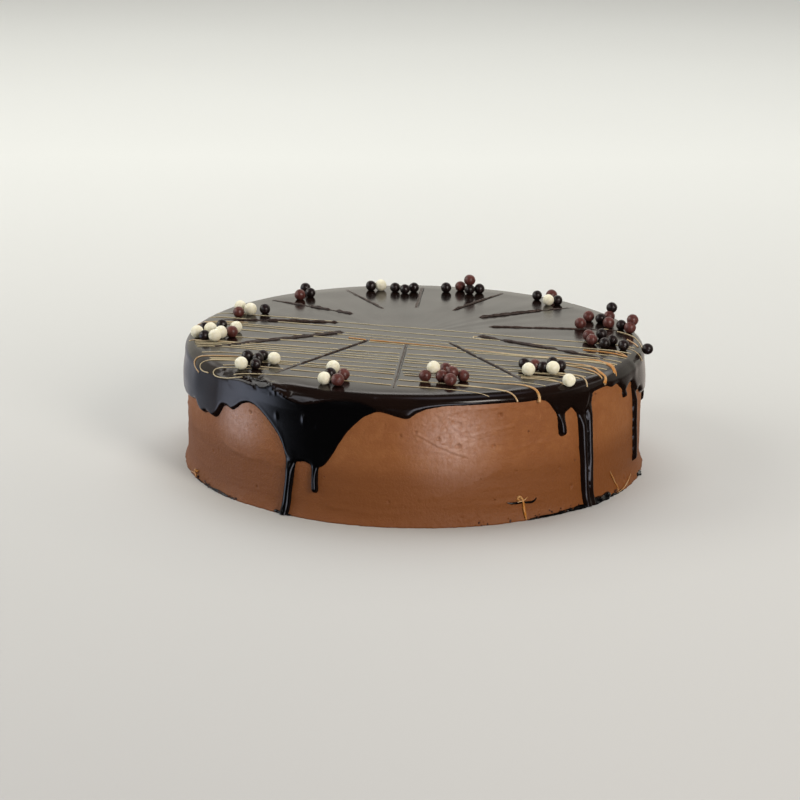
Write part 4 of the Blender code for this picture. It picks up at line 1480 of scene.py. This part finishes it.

# %% [markdown]
# ## Floor, light and camera
#
# A pale floor, with painted light that makes it darker near the front and lighter far behind, a big soft
# light from the left like a window, a softer one from the front right, and one overhead that only lights and
# is not mirrored.

# %% Floor
start_clean()
bpy.ops.mesh.primitive_plane_add(size=24)
floor = bpy.context.object
floor.name = "floor"
floor_material, tree, shader, where = new_material("pale_board_with_painted_light", 0.9, 1.45)
far_away = add_node(tree, "SeparateXYZ", {0: where}).outputs["Y"]
# Painted light: the floor is painted darker near the front and lighter far behind.
painted_light_far = add_node(tree, "MapRange", {0: far_away, 1: -0.5, 2: 0.9})
tone = add_node(tree, "Mix", {0: painted_light_far, 6: linear("B4B4B2"), 7: linear("E9EBE5")}, **RGBA)
patches = add_node(tree, "MapRange", {0: grain(tree, where, 400, detail=1), 4: 0.2})
tone = add_node(tree, "Mix", {0: patches, 6: tone, 7: linear("D8D8D2")}, **RGBA)
connect(tree, shader, {"Base Color": tone, "Specular IOR Level": 0.1})
wear(floor, floor_material)
floor.visible_glossy = False
floor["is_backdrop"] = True

# %% [markdown]
# ### The surround
#
# Glossy ganache shows the room more than its own colour. A level top seen at a low angle mirrors what is
# behind it, so the surround is bright there, with a few level bands as of a wall and a ceiling. The upright
# coat mirrors what is in front of it and below, which is mostly dark. Soft round glows stand for windows:
# each makes one sheen on the glaze or the cream. The camera sees none of this but a plain, pale background.

# %% Surround: the bands
ABOVE = 3.0  # how much brighter than white the wall high behind the cake is
world = bpy.data.worlds.new("surround")
bpy.context.scene.world = world
world.use_nodes = True
tree = world.node_tree
facing = add_node(tree, "TexCoord", {}).outputs["Generated"]
to_right, to_back, to_top = add_node(tree, "SeparateXYZ", {0: facing}).outputs
behind = add_node(tree, "MapRange", {0: to_back, 1: -0.25, 2: 0.75})
level = add_node(tree, "Mix", {0: behind, 6: linear("1C1A19"), 7: linear("D8D4C8")}, **RGBA)
dim = add_node(tree, "Mix", {0: behind, 6: linear("201D1B"), 7: linear("8C8884")}, **RGBA)
high = add_node(tree, "Mix", {0: behind, 6: linear("2A2624"), 7: linear("F4F0EA")}, **RGBA)
high = add_node(tree, "VectorMath", {0: high, 3: ABOVE}, operation="SCALE")
for low, full, band in ((0.40, 0.46, dim), (0.48, 0.51, high), (0.56, 0.60, linear("322D2A"))):
    share = add_node(tree, "MapRange", {0: to_top, 1: low, 2: full})
    level = add_node(tree, "Mix", {0: share, 6: level, 7: band}, **RGBA)
under = linear("050403")
for part, low, full, colour in (
    (to_back, 0.35, 0.95, "D2C8BE"),
    (to_right, 0.15, -0.75, "A8AEBC"),
    (to_back, -0.1, -0.5, "050404"),
    (to_top, -0.38, -0.6, "0A0807"),
):
    share = add_node(tree, "MapRange", {0: part, 1: low, 2: full})
    under = add_node(tree, "Mix", {0: share, 6: under, 7: linear(colour)}, **RGBA)
share = add_node(tree, "MapRange", {0: to_top, 1: -0.12, 2: 0.02})
tone = add_node(tree, "Mix", {0: share, 6: under, 7: level}, **RGBA)

# %% Surround: the glows
GLOWS = (  # the way to its middle, reach in degrees, colour and strength
    ((0.27, -0.92, -0.29), 20, "F2F2FF", 5.5),  # low in front: the sheen on the cream at the front right
    ((-0.95, -0.02, -0.26), 20, "DCE6FF", 2.6),  # low on the left: the coat's left side
    ((-0.76, -0.55, 0.34), 14, "F4F6FF", 3.5),  # front left: the shoulder and the folds
    ((0.17, 0.27, 0.95), 16, "E4E0F0", 1.5),  # overhead: the front of the shoulder
    ((0.0, 0.954, 0.299), 17, "FFFAF0", 0.35),  # behind: the far half of the top
)
for toward, reach, colour, strength in GLOWS:
    near = {0: facing, 1: Vector(toward).normalized()}
    near = add_node(tree, "VectorMath", near, operation="DOT_PRODUCT")
    share = {0: near, 1: math.cos(math.radians(reach)), 4: strength}
    share = add_node(tree, "MapRange", share, interpolation_type="SMOOTHSTEP")
    light = add_node(tree, "VectorMath", {0: linear(colour)[:3], 3: share}, operation="SCALE")
    tone = add_node(tree, "VectorMath", {0: tone, 1: light}, operation="ADD")
seen = add_node(tree, "LightPath", {}).outputs["Is Camera Ray"]
tone = add_node(tree, "Mix", {0: seen, 6: tone, 7: linear("DDDEDA")}, **RGBA)
connect(tree, tree.nodes["Background"], {"Color": tone, "Strength": 1.0})
print(len(GLOWS), "glows in the surround")


# %% Lights
def soft_light(name, place, width, height, watts, tint):
    """A rectangular soft light that faces the middle of the cake."""
    lamp = bpy.data.lights.new(name, "AREA")
    lamp.shape = "RECTANGLE"
    lamp.size, lamp.size_y = width, height
    lamp.energy = watts
    lamp.color = linear(tint)[:3]
    made = bpy.data.objects.new(name, lamp)
    bpy.context.scene.collection.objects.link(made)
    made.location = place
    made.rotation_euler = (CAKE_MIDDLE - Vector(place)).to_track_quat("-Z", "Y").to_euler()
    print(f"{name}: {watts} W")
    return made


CAKE_MIDDLE = Vector((0, 0, 0.03))
soft_light("window", (-2.3, 0.2, 1.3), 1.4, 1.8, 30, "F6F4F0")
soft_light("front_right", (0.95, -1.4, 0.8), 0.5, 0.9, 21, "FFF6EE")
overhead_light = soft_light("overhead", (0.1, 0.9, 2.4), 2.6, 2.6, 48, "FFFFFF")
overhead_light.visible_glossy = False

# %% [markdown]
# ### The camera
#
# It stands low and fairly far off with a long lens, so that the cake keeps its true proportions, and it is
# turned, tilted and rolled by a hair, as a camera held in the hand is.

# %% Camera
SENSOR = 36
LENS = 100.2
VIEW_DISTANCE = 1.1722
VIEW_HEIGHT = math.radians(17.3874)
PAN = math.radians(0.3843)
TILT = math.radians(1.3585)
ROLL = math.radians(0.5872)
UP_AXIS, SIDE_AXIS = Vector((0, 0, 1)), Vector((1, 0, 0))
camera_data = bpy.data.cameras.new("camera")
camera_data.lens = LENS
camera_data.sensor_width = SENSOR
camera = bpy.data.objects.new("camera", camera_data)
bpy.context.scene.collection.objects.link(camera)
camera.location = (0, -VIEW_DISTANCE * math.cos(VIEW_HEIGHT), VIEW_DISTANCE * math.sin(VIEW_HEIGHT))
camera.rotation_mode = "QUATERNION"
turned = Quaternion(UP_AXIS, PAN) @ Quaternion(SIDE_AXIS, math.pi / 2 - VIEW_HEIGHT + TILT)
camera.rotation_quaternion = turned @ Quaternion(UP_AXIS, ROLL)
bpy.context.scene.camera = camera
bpy.context.scene.view_settings.view_transform = "Standard"
print("camera at", [round(part, 3) for part in camera.location])

# %% [markdown]
# ## Finish
#
# The visual model is meant to keep the size of the imported one, so the last line prints its size.

# %% Sizes and finish
low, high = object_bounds()
print("visual size in mm:", [round(side / MM, 1) for side in high - low])
